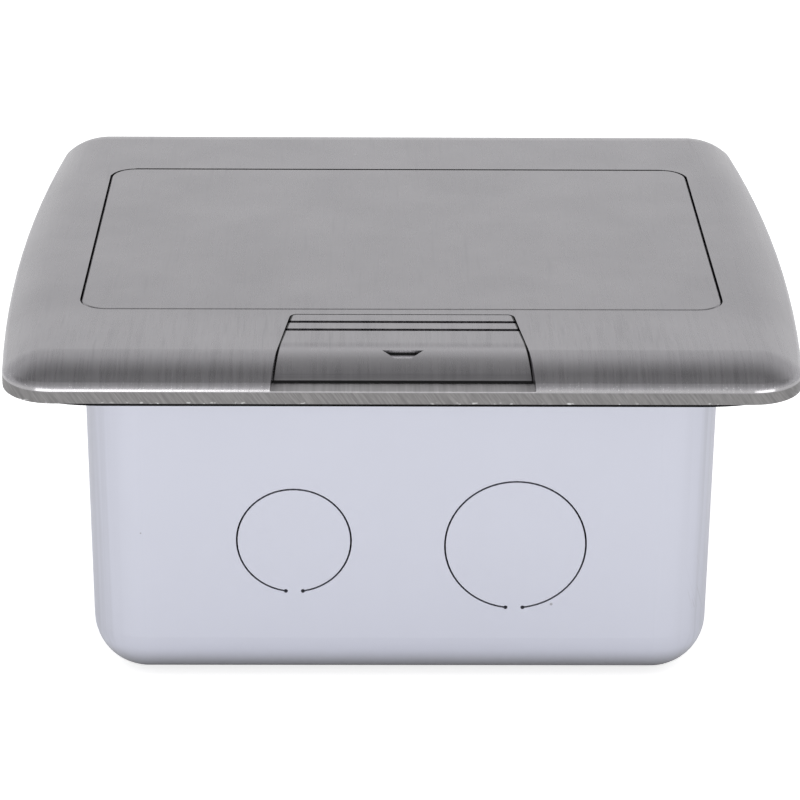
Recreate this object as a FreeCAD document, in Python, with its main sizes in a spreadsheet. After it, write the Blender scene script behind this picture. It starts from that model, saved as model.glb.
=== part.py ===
"""Floor socket box: a drawn steel box with a cast cover, a latched pop-up lid and two socket outlets.

Frame: +X right, +Y to the back, +Z up, origin at the middle of the box's underside. Millimetres.
The lid turns about a hinge near its back edge. A sliding latch at the front of the cover holds it
shut, and the outlets hang under the lid on a carrier, so they face the user when the lid is up.
"""
import FreeCAD
import Part
import Sketcher
import math
import os
import re

# ---------------------------------------------------------------------------
# Driving sizes, in millimetres and degrees
# ---------------------------------------------------------------------------
SIZES = {
    # drawn steel back box
    "box_width": 121.0,
    "box_depth": 104.0,
    "box_height": 66.6,
    "box_wall": 1.5,
    "box_corner": 11.0,
    "box_bottom_round": 10.5,
    "fixing_hole": 4.5,
    "fixing_spacing_across": 84.0,
    "fixing_spacing_deep": 68.0,
    "small_knockout": 22.3,
    "small_knockout_across": 20.6,
    "small_knockout_high": 31.6,
    "large_knockout": 27.5,
    "large_knockout_across": 22.0,
    "large_knockout_high": 30.7,
    "knockout_slot": 0.35,
    "knockout_tab": 3.3,
    "knockout_notch": 0.8,
    "earth_boss_across": 34.0,
    "earth_boss_deep": 12.0,
    "earth_boss_width": 11.0,
    "earth_boss_high": 5.5,
    "earth_thread": 4.8,
    # gasket under the cover
    "gasket_thickness": 1.0,
    "gasket_inset": 1.2,
    "gasket_width": 10.0,
    # cast cover frame
    "cover_side_overhang": 16.3,
    "cover_end_overhang": 16.0,
    "cover_corner": 10.0,
    "cover_rise": 7.0,
    "cover_band": 2.4,
    "bow_radius": 600.0,
    "rim_run": 9.0,
    "rim_edge_round": 3.0,
    "rim_edge_slope": 75.0,
    "cover_skin": 3.0,
    "cover_land": 11.0,
    "cover_rib": 2.0,
    # lid and its seat
    "lid_side_overlap": 0.75,
    "lid_depth": 79.0,
    "lid_thickness": 2.4,
    "lid_corner": 5.0,
    "lid_gap": 0.3,
    "lid_edge_bevel": 0.25,
    "seal_thickness": 0.7,
    "seal_width": 1.5,
    "seal_gap": 0.1,
    "seal_side_gap": 0.15,
    "ledge_thickness": 1.8,
    "ledge_side_width": 9.05,
    "ledge_front_width": 2.2,
    # cover screws and the lugs they enter
    "cover_screw": 4.0,
    "cover_screw_head": 7.0,
    "cover_screw_length": 11.0,
    "cover_screw_inset": 4.85,
    "cover_screw_front": 31.0,
    "cover_screw_back": 23.5,
    "screw_slack": 0.3,
    "boss_width": 7.0,
    "boss_lift": 0.2,
    "boss_side_gap": 0.15,
    "lug_drop": 2.0,
    "lug_thickness": 1.5,
    "lug_width": 8.0,
    "lug_reach": 6.7,
    "lug_leg": 10.0,
    # hinge
    "pivot_inset": 6.5,
    "pivot_drop": 5.6,
    "pin_width": 3.0,
    "pin_slack": 0.04,
    "hinge_lug_space": 5.2,
    "hinge_lug_thickness": 3.5,
    "hinge_lug_round": 2.9,
    "hinge_lug_drop": 9.0,
    "hinge_lug_back": 5.0,
    "bush_wall": 0.6,
    "bush_flange": 0.4,
    "bush_flange_width": 5.6,
    "bush_seat_gap": 0.1,
    "open_angle": 42.0,
    "stop_peg": 3.2,
    "stop_reach": 48.0,
    "stop_slack": 0.05,
    # torsion springs
    "torsion_wire": 0.8,
    "torsion_coil": 5.0,
    "torsion_turns": 4.0,
    "torsion_pitch": 0.98,
    "torsion_side_gap": 0.35,
    "torsion_leg": 14.0,
    "torsion_tail": 8.0,
    # socket carrier
    "carrier_inset": 11.45,
    "carrier_wall": 2.0,
    "carrier_depth": 41.2,
    "carrier_back": 14.0,
    "face_tilt": 14.3,
    "face_setback": 6.43,
    "ear_high": 14.0,
    "ear_back": 3.6,
    "post_width": 6.3,
    "post_length": 8.0,
    "cover_plate": 1.6,
    "cover_plate_gap": 0.2,
    "cable_hole": 14.0,
    "grommet_wall": 1.6,
    "grommet_lip": 1.8,
    # outlets
    "outlet_spacing": 58.0,
    "outlet_drop": 3.4,
    "outlet_face_width": 30.4,
    "outlet_face_high": 23.4,
    "outlet_face_round": 3.0,
    "outlet_gap": 0.3,
    "outlet_proud": 0.8,
    "outlet_body_width": 34.0,
    "outlet_body_high": 32.0,
    "outlet_body_depth": 12.0,
    "outlet_back_depth": 4.0,
    "outlet_skin": 3.0,
    "blade_spacing": 12.7,
    "blade_slot": 2.3,
    "line_slot": 6.6,
    "neutral_slot": 8.2,
    "blade_rise": 4.0,
    "earth_hole": 5.2,
    "earth_fall": 7.9,
    "contact_metal": 0.7,
    "contact_high": 9.0,
    "contact_deep": 6.0,
    "outlet_screw_high": 14.3,
    # latch
    "slider_setback": 3.5,
    "latch_travel": 3.5,
    "latch_land": 2.5,
    "slider_front_width": 47.5,
    "slider_back_width": 41.6,
    "slider_back_round": 1.2,
    "slider_gap": 0.3,
    "slider_lift": 0.1,
    "channel_side_gap": 0.45,
    "channel_step": 0.1,
    "groove_width": 1.1,
    "groove_depth": 0.8,
    "first_groove": 7.3,
    "second_groove": 3.5,
    "arrow_base": 9.5,
    "arrow_tip": 6.0,
    "arrow_width": 7.6,
    "arrow_drop": 1.1,
    "stem_across": 20.0,
    "stem_width": 4.0,
    "stem_depth": 2.6,
    "stem_inset": 0.3,
    "latch_screw": 2.0,
    "bolt_thickness": 2.0,
    "bolt_gap": 0.2,
    "bolt_width": 52.0,
    "bolt_depth": 8.9,
    "nose_width": 16.0,
    "nose_reach": 3.5,
    "nose_bevel": 1.2,
    "spring_inset": 4.0,
    "spring_coil": 3.2,
    "spring_wire": 0.5,
    "spring_turns": 5.0,
    "spring_seat": 1.0,
    "retainer_thickness": 1.2,
    "retainer_drop": 4.2,
    "retainer_width": 68.0,
    "retainer_depth": 9.0,
    "retainer_screw_inset": 4.0,
    "retainer_boss": 6.0,
    "post_thickness": 1.2,
    "post_gap": 0.1,
    "keeper_width": 17.0,
    "keeper_metal": 1.2,
    "keeper_lip": 2.0,
    "keeper_reach": 2.93,
    "keeper_leg": 9.0,
    "keeper_screw_across": 10.0,
    "keeper_gap": 0.2,
    "latch_recess": 3.4,
    "recess_side_gap": 0.8,
    # small screws
    "small_screw": 2.5,
    "small_head": 4.4,
    "small_head_high": 1.2,
    "small_screw_length": 4.6,
    "lid_screw_bite": 1.5,
    "lid_screw_across": 76.0,
    "lid_screw_front": -24.0,
    "lid_screw_back": 4.0,
}

# Sizes that follow from others, with the clearance or margin between the pieces
FOLLOWS = {
    "cover_width": "(box_width + 2 * cover_side_overhang)",
    "cover_depth": "(box_depth + 2 * cover_end_overhang)",
    "lid_width": "(box_width + 2 * lid_side_overlap)",
    "cover_screw_across": "(lid_width - 2 * cover_screw_inset)",
    "carrier_width": "(lid_width - 2 * carrier_inset)",
    "hinge_lug_inner": "(carrier_width / 2 + hinge_lug_space)",
    "pivot_back": "(lid_depth / 2 - pivot_inset)",
    "face_distance": "(pivot_back + lid_depth / 2 - face_setback)",
    "keeper_radius": "(face_distance + keeper_reach)",
    "recess_width": "(keeper_width + 2 * recess_side_gap)",
    "channel_front_width": "(slider_front_width + 2 * channel_side_gap)",
    "spring_across": "(bolt_width - 2 * spring_inset)",
    "retainer_screw_across": "(retainer_width - 2 * retainer_screw_inset)",
}

doc = FreeCAD.newDocument("FloorSocketBox")
sheet = doc.addObject("Spreadsheet::Sheet", "Sizes")
for row, (alias, size) in enumerate(SIZES.items(), start=1):
    sheet.set(f"A{row}", alias)
    sheet.set(f"B{row}", str(size))
    sheet.setAlias(f"B{row}", alias)
doc.recompute()

# ---------------------------------------------------------------------------
# Levels and places that follow from the sizes
# ---------------------------------------------------------------------------
cover_under = "(box_height + gasket_thickness)"
top = f"({cover_under} + cover_rise)"
crease = f"({cover_under} + cover_band)"
lid_under = f"({top} - lid_thickness)"
ledge_top = f"({lid_under} - seal_gap - seal_thickness)"
ledge_under = f"({ledge_top} - ledge_thickness)"
cover_front = "(-cover_depth / 2)"

opening_side = "(lid_width / 2 + lid_gap)"
opening_end = "(lid_depth / 2 + lid_gap)"
ledge_side = f"({opening_side} - ledge_side_width)"
ledge_front = f"(-{opening_end} + ledge_front_width)"

pivot_z = f"({top} - pivot_drop)"
lid_swing = "(sqrt((lid_depth / 2 - pivot_back)^2 + pivot_drop^2))"
box_inner_side = "(box_width / 2 - box_wall)"
box_inner_end = "(box_depth / 2 - box_wall)"
lug_top = "(box_height - lug_drop)"

carrier_side = "(carrier_width / 2)"
carrier_inside = "(carrier_width / 2 - carrier_wall)"
carrier_bottom = f"({lid_under} - carrier_depth)"
flange_under = f"({lid_under} - carrier_wall)"

channel_floor = f"({crease} + channel_step)"
slider_under = f"({channel_floor} + slider_lift)"
slider_front = f"({cover_front} + slider_setback)"
slider_back = f"(-{opening_end} - latch_land)"
stem_back = f"({slider_back} - stem_inset)"
stem_middle = f"({stem_back} - stem_depth / 2)"
bolt_top = f"({cover_under} - bolt_gap)"
bolt_under = f"({bolt_top} - bolt_thickness)"
bolt_back = f"({ledge_front} - 0.1)"
bolt_front = f"({bolt_back} - bolt_depth)"
retainer_top = f"({cover_under} - retainer_drop)"
keeper_top = f"({bolt_under} - keeper_gap)"
retainer_middle = f"({bolt_back} - 1.2 - retainer_depth / 2)"


def formula(text):
    """The same formula with each size named as a cell of the sheet."""
    def spell(word):
        if word[0] in FOLLOWS:
            return formula(FOLLOWS[word[0]])
        return f"Sizes.{word[0]}" if word[0] in SIZES else word[0]

    return re.sub(r"[a-z_]+", spell, text)


def number(text):
    """What a formula comes to."""
    return float(sheet.evalExpression(formula(str(text))))


def face_line(z, inset="0"):
    """Y of the outlets' inclined face at a level, or of a plane that lies inset behind it."""
    return (
        f"(pivot_back - (face_distance - {inset} + ({z} - {pivot_z}) * sin(face_tilt))"
        " / cos(face_tilt))"
    )


def face_point(along, behind="0"):
    """(Y, Z) of a point on the inclined face, measured up it from the foot of the pivot."""
    y = f"(pivot_back - (face_distance - {behind}) * cos(face_tilt) - ({along}) * sin(face_tilt))"
    z = f"({pivot_z} - (face_distance - {behind}) * sin(face_tilt) + ({along}) * cos(face_tilt))"
    return y, z


# ---------------------------------------------------------------------------
# Shared building steps
# ---------------------------------------------------------------------------
def bind(item, formulas):
    """Bind properties to formulas of the sheet."""
    for name, text in formulas.items():
        item.setExpression(name, formula(str(text)))


def new_body(label):
    body = doc.addObject("PartDesign::Body", label)
    body.Label = label
    return body


def new_sketch(body, name, facing, at="0", across="0", up="0"):
    """A sketch on one of the body's origin planes, moved to a level and to a local origin."""
    sketch = body.newObject("Sketcher::SketchObject", name)
    plane = next(item for item in body.Origin.OriginFeatures if item.Role == facing + "_Plane")
    sketch.AttachmentSupport = [(plane, "")]
    sketch.MapMode = "FlatFace"
    level = f"-({at})" if facing == "XZ" else at
    bind(sketch, {
        "AttachmentOffset.Base.x": across,
        "AttachmentOffset.Base.y": up,
        "AttachmentOffset.Base.z": level,
    })
    doc.recompute()
    return sketch


def new_face_sketch(body, name, along, behind="0", across="0"):
    """A sketch parallel to the inclined face, with its normal pointing out of the carrier."""
    sketch = new_sketch(body, name, "XY")
    y, z = face_point(along, behind)
    sketch.AttachmentOffset = FreeCAD.Placement(
        FreeCAD.Vector(0, 0, 0), FreeCAD.Rotation(FreeCAD.Vector(1, 0, 0), 90)
    )
    bind(sketch, {
        "AttachmentOffset.Base.x": across,
        "AttachmentOffset.Base.y": y,
        "AttachmentOffset.Base.z": z,
        "AttachmentOffset.Rotation.Angle": "90 + face_tilt",
    })
    doc.recompute()
    return sketch


def hold(sketch, kind, text, *where):
    """Add one measured constraint and bind it to a formula."""
    index = sketch.addConstraint(Sketcher.Constraint(kind, *where, number(text)))
    sketch.setExpression(f"Constraints[{index}]", formula(text))


def hold_point(sketch, item, end, x, y):
    hold(sketch, "DistanceX", x, -1, 1, item, end)
    hold(sketch, "DistanceY", y, -1, 1, item, end)


def polygon(sketch, points):
    """A closed outline with each corner held at its formulas."""
    places = [FreeCAD.Vector(number(x), number(y), 0) for x, y in points]
    first = sketch.GeometryCount
    count = len(points)
    for i in range(count):
        sketch.addGeometry(Part.LineSegment(places[i], places[(i + 1) % count]), False)
    for i in range(count):
        sketch.addConstraint(
            Sketcher.Constraint("Coincident", first + i, 2, first + (i + 1) % count, 1)
        )
    for i, (x, y) in enumerate(points):
        hold_point(sketch, first + i, 1, x, y)


def rectangle(sketch, left, right, low, high):
    polygon(sketch, [(left, low), (right, low), (right, high), (left, high)])


def circle(sketch, x, y, width):
    item = sketch.addGeometry(
        Part.Circle(FreeCAD.Vector(number(x), number(y), 0), FreeCAD.Vector(0, 0, 1), number(width) / 2),
        False,
    )
    hold_point(sketch, item, 3, x, y)
    hold(sketch, "Diameter", width, item)


def feature(kind, sketch, length, both=False, back=False):
    """Pad or Pocket a sketch. It raises if the solid's volume doesn't change."""
    body = sketch.getParentGeoFeatureGroup()
    before = body.Shape.Volume if body.Tip and body.Shape.Solids else 0
    item = body.newObject("PartDesign::" + kind, sketch.Name + kind)
    item.Profile = sketch
    item.SideType = "Symmetric" if both else "One side"
    item.Reversed = back
    bind(item, {"Length": length})
    doc.recompute()
    if abs(body.Shape.Volume - before) < 1e-3:
        raise ValueError(f"{item.Name} changes nothing")
    return item


def pad(sketch, length, both=False, back=False):
    return feature("Pad", sketch, length, both, back)


def pocket(sketch, length, both=False, back=False):
    return feature("Pocket", sketch, length, both, back)


def dress(kind, body, size, wanted):
    """Fillet or Chamfer the edges of the body that a test picks."""
    base = body.Tip
    names = [f"Edge{i}" for i, edge in enumerate(base.Shape.Edges, start=1) if wanted(edge)]
    if not names:
        raise ValueError(f"no edges to dress on {body.Name}")
    item = body.newObject("PartDesign::" + kind, f"{body.Name}{kind}{len(body.Group)}")
    item.Base = (base, names)
    bind(item, {"Radius" if kind == "Fillet" else "Size": size})
    doc.recompute()
    if not item.isValid():
        raise ValueError(f"{item.Name} failed")
    return item


def upright(edge):
    """Whether an edge is a straight line along Z."""
    ends = edge.Vertexes
    if len(ends) < 2 or edge.Curve.TypeId != "Part::GeomLine":
        return False
    run = ends[1].Point - ends[0].Point
    return abs(run.x) < 1e-6 and abs(run.y) < 1e-6


def middle(edge):
    return edge.BoundBox.Center


def close(value, text):
    return abs(value - number(text)) < 0.01


def block(name, left, right, front, back, low, high):
    """A box from its six sides."""
    item = doc.addObject("Part::Box", name)
    bind(item, {
        "Length": f"{right} - ({left})",
        "Width": f"{back} - ({front})",
        "Height": f"{high} - ({low})",
        "Placement.Base.x": left,
        "Placement.Base.y": front,
        "Placement.Base.z": low,
    })
    return item


TURNS = {
    "up": FreeCAD.Rotation(),
    "right": FreeCAD.Rotation(FreeCAD.Vector(0, 1, 0), 90),
    "back": FreeCAD.Rotation(FreeCAD.Vector(1, 0, 0), -90),
}


def rod(name, width, length, x="0", y="0", z="0", along="up"):
    """A cylinder from its foot."""
    item = doc.addObject("Part::Cylinder", name)
    item.Placement = FreeCAD.Placement(FreeCAD.Vector(0, 0, 0), TURNS[along])
    bind(item, {
        "Radius": f"({width}) / 2",
        "Height": length,
        "Placement.Base.x": x,
        "Placement.Base.y": y,
        "Placement.Base.z": z,
    })
    return item


def cut(name, base, tool):
    item = doc.addObject("Part::Cut", name)
    item.Base = base
    item.Tool = tool
    return item


def fuse(name, items):
    item = doc.addObject("Part::MultiFuse", name)
    item.Shapes = items
    item.Refine = True
    return item


def group(label, items):
    """Alike pieces that stay separate solids of one sub-part."""
    item = doc.addObject("Part::Compound", label)
    item.Label = label
    item.Links = items
    return item


def place(item, x, y, z, turn="0"):
    """Turn an item about X and set it down."""
    item.Placement = FreeCAD.Placement(
        FreeCAD.Vector(0, 0, 0), FreeCAD.Rotation(FreeCAD.Vector(1, 0, 0), 1)
    )
    bind(item, {
        "Placement.Base.x": x,
        "Placement.Base.y": y,
        "Placement.Base.z": z,
        "Placement.Rotation.Angle": turn,
    })
    return item


def sunk_screw(name, width, head, length):
    """A countersunk screw with the top of its head at the origin, pointing down."""
    shank = rod(name + "Shank", width, length, z=f"-({length})")
    cone = doc.addObject("Part::Cone", name + "Head")
    bind(cone, {
        "Radius1": f"({width}) / 2",
        "Radius2": f"({head}) / 2",
        "Height": f"({head} - {width}) / 2",
        "Placement.Base.z": f"-({head} - {width}) / 2",
    })
    return fuse(name, [shank, cone])


def pan_screw(name, width, head, head_high, length):
    """A pan-head screw with its head's seat at the origin, pointing down."""
    shank = rod(name + "Shank", width, f"{length} + {head_high} / 2", z=f"-({length})")
    cap = rod(name + "Head", head, head_high)
    return fuse(name, [shank, cap])


SIDES = ("-1", "1")


# ---------------------------------------------------------------------------
# Back box and what is fixed in it
# ---------------------------------------------------------------------------
def knockout_slot(sketch, x, z, width):
    """A C-shaped slot round a knockout. Its open end is the tab that holds the disc."""
    outer = f"({width} / 2)"
    inner = f"({width} / 2 - knockout_slot)"
    centre = FreeCAD.Vector(number(x), number(z), 0)
    up = FreeCAD.Vector(0, 0, 1)
    arcs = []
    for radius in (outer, inner):
        size = number(radius)
        half = math.asin(number("knockout_tab") / 2 / size)
        arc = Part.ArcOfCircle(Part.Circle(centre, up, size), half - math.pi / 2, 1.5 * math.pi - half)
        arcs.append(sketch.addGeometry(arc, False))
    for arc, radius in zip(arcs, (outer, inner)):
        hold(sketch, "Radius", radius, arc)
    hold_point(sketch, arcs[0], 3, x, z)
    sketch.addConstraint(Sketcher.Constraint("Coincident", arcs[0], 3, arcs[1], 3))
    ends = sketch.Geometry
    for end, side in ((1, ""), (2, "-")):
        start = ends[arcs[0]].StartPoint if end == 1 else ends[arcs[0]].EndPoint
        stop = ends[arcs[1]].StartPoint if end == 1 else ends[arcs[1]].EndPoint
        line = sketch.addGeometry(Part.LineSegment(start, stop), False)
        sketch.addConstraint(Sketcher.Constraint("Coincident", line, 1, arcs[0], end))
        sketch.addConstraint(Sketcher.Constraint("Coincident", line, 2, arcs[1], end))
        sketch.addConstraint(Sketcher.Constraint("Vertical", line))
        hold(sketch, "DistanceX", f"{side}knockout_tab / 2 + {x}", -1, 1, arcs[0], end)


def make_back_box():
    """Drawn box: rounded plan corners and bottom edge, shelled, with pierced knockouts."""
    body = new_body("back_box")
    plan = new_sketch(body, "BoxPlan", "XY")
    rectangle(plan, "-box_width / 2", "box_width / 2", "-box_depth / 2", "box_depth / 2")
    pad(plan, "box_height")
    dress("Fillet", body, "box_corner", upright)
    dress("Fillet", body, "box_bottom_round", lambda edge: edge.BoundBox.ZMax < 1e-6)
    solid = body.Tip
    high = number("box_height")
    rim = next(
        i for i, face in enumerate(solid.Shape.Faces, start=1) if face.BoundBox.ZMin > high - 1e-3
    )
    shell = body.newObject("PartDesign::Thickness", "BoxShell")
    shell.Base = (solid, [f"Face{rim}"])
    shell.Reversed = True
    bind(shell, {"Value": "box_wall"})
    doc.recompute()
    for wall, front in (("Front", "-box_depth / 2"), ("Back", f"{box_inner_end}")):
        slots = new_sketch(body, f"Knockouts{wall}", "XZ", f"{front}")
        knockout_slot(slots, "-small_knockout_across", "small_knockout_high", "small_knockout")
        knockout_slot(slots, "large_knockout_across", "large_knockout_high", "large_knockout")
        pocket(slots, "box_wall")
        notches = new_sketch(body, f"KnockoutNotches{wall}", "XZ", f"{front}")
        for x, z, width in (
            ("-small_knockout_across", "small_knockout_high", "small_knockout"),
            ("large_knockout_across", "large_knockout_high", "large_knockout"),
        ):
            low = f"{z} - sqrt(({width} / 2 - knockout_slot / 2)^2 - (knockout_tab / 2)^2)"
            for side in SIDES:
                circle(notches, f"{x} + {side} * knockout_tab / 2", low, "knockout_notch")
        pocket(notches, "box_wall")
    boss = new_sketch(body, "EarthBoss", "XY", "box_wall")
    circle(boss, "earth_boss_across", "earth_boss_deep", "earth_boss_width")
    pad(boss, "earth_boss_high")
    holes = new_sketch(body, "FixingHoles", "XY", "box_wall")
    for side in SIDES:
        for end in SIDES:
            circle(
                holes, f"{side} * fixing_spacing_across / 2", f"{end} * fixing_spacing_deep / 2",
                "fixing_hole",
            )
    pocket(holes, "box_wall")
    thread = new_sketch(body, "EarthThread", "XY", "box_wall + earth_boss_high")
    circle(thread, "earth_boss_across", "earth_boss_deep", "earth_thread")
    pocket(thread, "earth_boss_high")
    return body


def screw_places():
    """(side, Y) of the four cover screws."""
    return [(side, y) for side in SIDES for y in ("-cover_screw_front", "cover_screw_back")]


def make_screw_lugs():
    """Four bent lugs welded to the side walls, tapped for the cover screws."""
    lugs = []
    for i, (side, y) in enumerate(screw_places(), start=1):
        wall = f"({side} * {box_inner_side})"
        left, right = (f"({wall} - lug_reach)", wall) if side == "1" else (wall, f"({wall} + lug_reach)")
        legs = (
            (f"({wall} - lug_thickness)", wall) if side == "1" else (wall, f"({wall} + lug_thickness)")
        )
        front, back = f"({y} - lug_width / 2)", f"({y} + lug_width / 2)"
        shelf = block(f"LugShelf{i}", left, right, front, back, f"({lug_top} - lug_thickness)", lug_top)
        leg = block(f"LugLeg{i}", *legs, front, back, f"({lug_top} - lug_leg)", lug_top)
        bent = fuse(f"LugBent{i}", [shelf, leg])
        thread = rod(
            f"LugThread{i}", "cover_screw + pin_slack", "lug_leg + lug_thickness",
            f"{side} * cover_screw_across / 2", y, f"{lug_top} - lug_leg",
        )
        lugs.append(cut(f"Lug{i}", bent, thread))
    return group("screw_lugs", lugs)


def make_ground_screw():
    """Green earthing screw in the boss on the box's floor."""
    screw = pan_screw(
        "GroundScrew", "earth_thread - pin_slack", "earth_boss_width - 1.5", "2.4", "earth_boss_high - 0.5"
    )
    place(screw, "earth_boss_across", "earth_boss_deep", "box_wall + earth_boss_high")
    screw.Label = "ground_screw"
    return screw


# ---------------------------------------------------------------------------
# Cover frame, gasket and seal
# ---------------------------------------------------------------------------
def bowed_outline(sketch, inset="0"):
    """The cover's plan: straight front and back, bowed sides, rounded corners."""
    bow = f"(bow_radius - {inset})"
    corner = f"(cover_corner - {inset})"
    bow_x = "(cover_width / 2 - bow_radius)"
    end = f"(cover_depth / 2 - {inset})"
    big, small, centre_x, y = number(bow), number(corner), number(bow_x), number(end)
    corner_y = y - small
    corner_x = centre_x + math.sqrt((big - small) ** 2 - corner_y ** 2)
    lean = math.atan2(corner_y, corner_x - centre_x)
    normal = FreeCAD.Vector(0, 0, 1)

    def arc(x, y, radius, start, stop):
        shape = Part.ArcOfCircle(Part.Circle(FreeCAD.Vector(x, y, 0), normal, radius), start, stop)
        return sketch.addGeometry(shape, False)

    half = math.pi / 2
    first = sketch.addGeometry(
        Part.LineSegment(FreeCAD.Vector(-corner_x, -y, 0), FreeCAD.Vector(corner_x, -y, 0)), False
    )
    arc(corner_x, -corner_y, small, -half, -lean)
    arc(centre_x, 0, big, -lean, lean)
    arc(corner_x, corner_y, small, lean, half)
    sketch.addGeometry(
        Part.LineSegment(FreeCAD.Vector(corner_x, y, 0), FreeCAD.Vector(-corner_x, y, 0)), False
    )
    arc(-corner_x, corner_y, small, half, math.pi - lean)
    arc(-centre_x, 0, big, math.pi - lean, math.pi + lean)
    arc(-corner_x, -corner_y, small, math.pi + lean, 3 * half)
    for i in range(8):
        joint = Sketcher.Constraint("Tangent", first + i, 2, first + (i + 1) % 8, 1)
        sketch.addConstraint(joint)
    for line, side in ((first, "-"), (first + 4, "")):
        sketch.addConstraint(Sketcher.Constraint("Horizontal", line))
        hold(sketch, "DistanceY", side + end, -1, 1, line, 1)
    for item in (first + 1, first + 3, first + 5, first + 7):
        hold(sketch, "Radius", corner, item)
    for item, side in ((first + 2, ""), (first + 6, "-")):
        hold(sketch, "Radius", bow, item)
        hold_point(sketch, item, 3, side + bow_x, "0")


def rim_profile(sketch, start):
    """What is cut away above the rim: two tangent arcs that rise from the crease to the top."""
    run, rise = number("rim_run"), number("cover_rise - cover_band")
    small, slope = number("rim_edge_round"), math.radians(number("rim_edge_slope"))
    y, z = number(start), number(crease)
    level = run - small * math.sin(slope)
    climb = rise + small * math.cos(slope) - small
    turn = 2 * math.atan2(climb, level)
    big = small + level / math.sin(turn)
    normal = FreeCAD.Vector(0, 0, 1)
    small_centre = FreeCAD.Vector(y + small * math.sin(slope), z - small * math.cos(slope), 0)
    big_centre = FreeCAD.Vector(y + run, z + rise - big, 0)
    half = math.pi / 2
    upper = sketch.addGeometry(
        Part.ArcOfCircle(Part.Circle(big_centre, normal, big), half, half + turn), False
    )
    lower = sketch.addGeometry(
        Part.ArcOfCircle(Part.Circle(small_centre, normal, small), half + turn, half + slope), False
    )
    sketch.addConstraint(Sketcher.Constraint("Tangent", upper, 2, lower, 1))
    hold(sketch, "Radius", "rim_edge_round", lower)
    hold(sketch, "DistanceX", f"{start} + rim_edge_round * sin(rim_edge_slope)", -1, 1, lower, 3)
    hold_point(sketch, upper, 1, f"{start} + rim_run", top)
    hold(sketch, "DistanceX", f"{start} + rim_run", -1, 1, upper, 3)
    corners = [
        (start, crease), (f"({start} - 2)", crease), (f"({start} - 2)", f"({top} + 2)"),
        (f"({start} + rim_run)", f"({top} + 2)"), (f"({start} + rim_run)", top),
    ]
    places = [FreeCAD.Vector(number(x), number(y), 0) for x, y in corners]
    lines = [
        sketch.addGeometry(Part.LineSegment(places[i], places[i + 1]), False) for i in range(4)
    ]
    sketch.addConstraint(Sketcher.Constraint("Coincident", lower, 2, lines[0], 1))
    for i in range(3):
        sketch.addConstraint(Sketcher.Constraint("Coincident", lines[i], 2, lines[i + 1], 1))
    sketch.addConstraint(Sketcher.Constraint("Coincident", lines[3], 2, upper, 1))
    for line, (x, z_text) in zip(lines, corners):
        hold_point(sketch, line, 1, x, z_text)


def corner_at(x, y, low):
    """A test for the upright edges at (+-x, +-y) that start at a level."""
    def wanted(edge):
        place_of = middle(edge)
        return (
            upright(edge) and close(abs(place_of.x), f"abs({x})") and close(abs(place_of.y), f"abs({y})")
            and close(edge.BoundBox.ZMin, low)
        )
    return wanted


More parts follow.
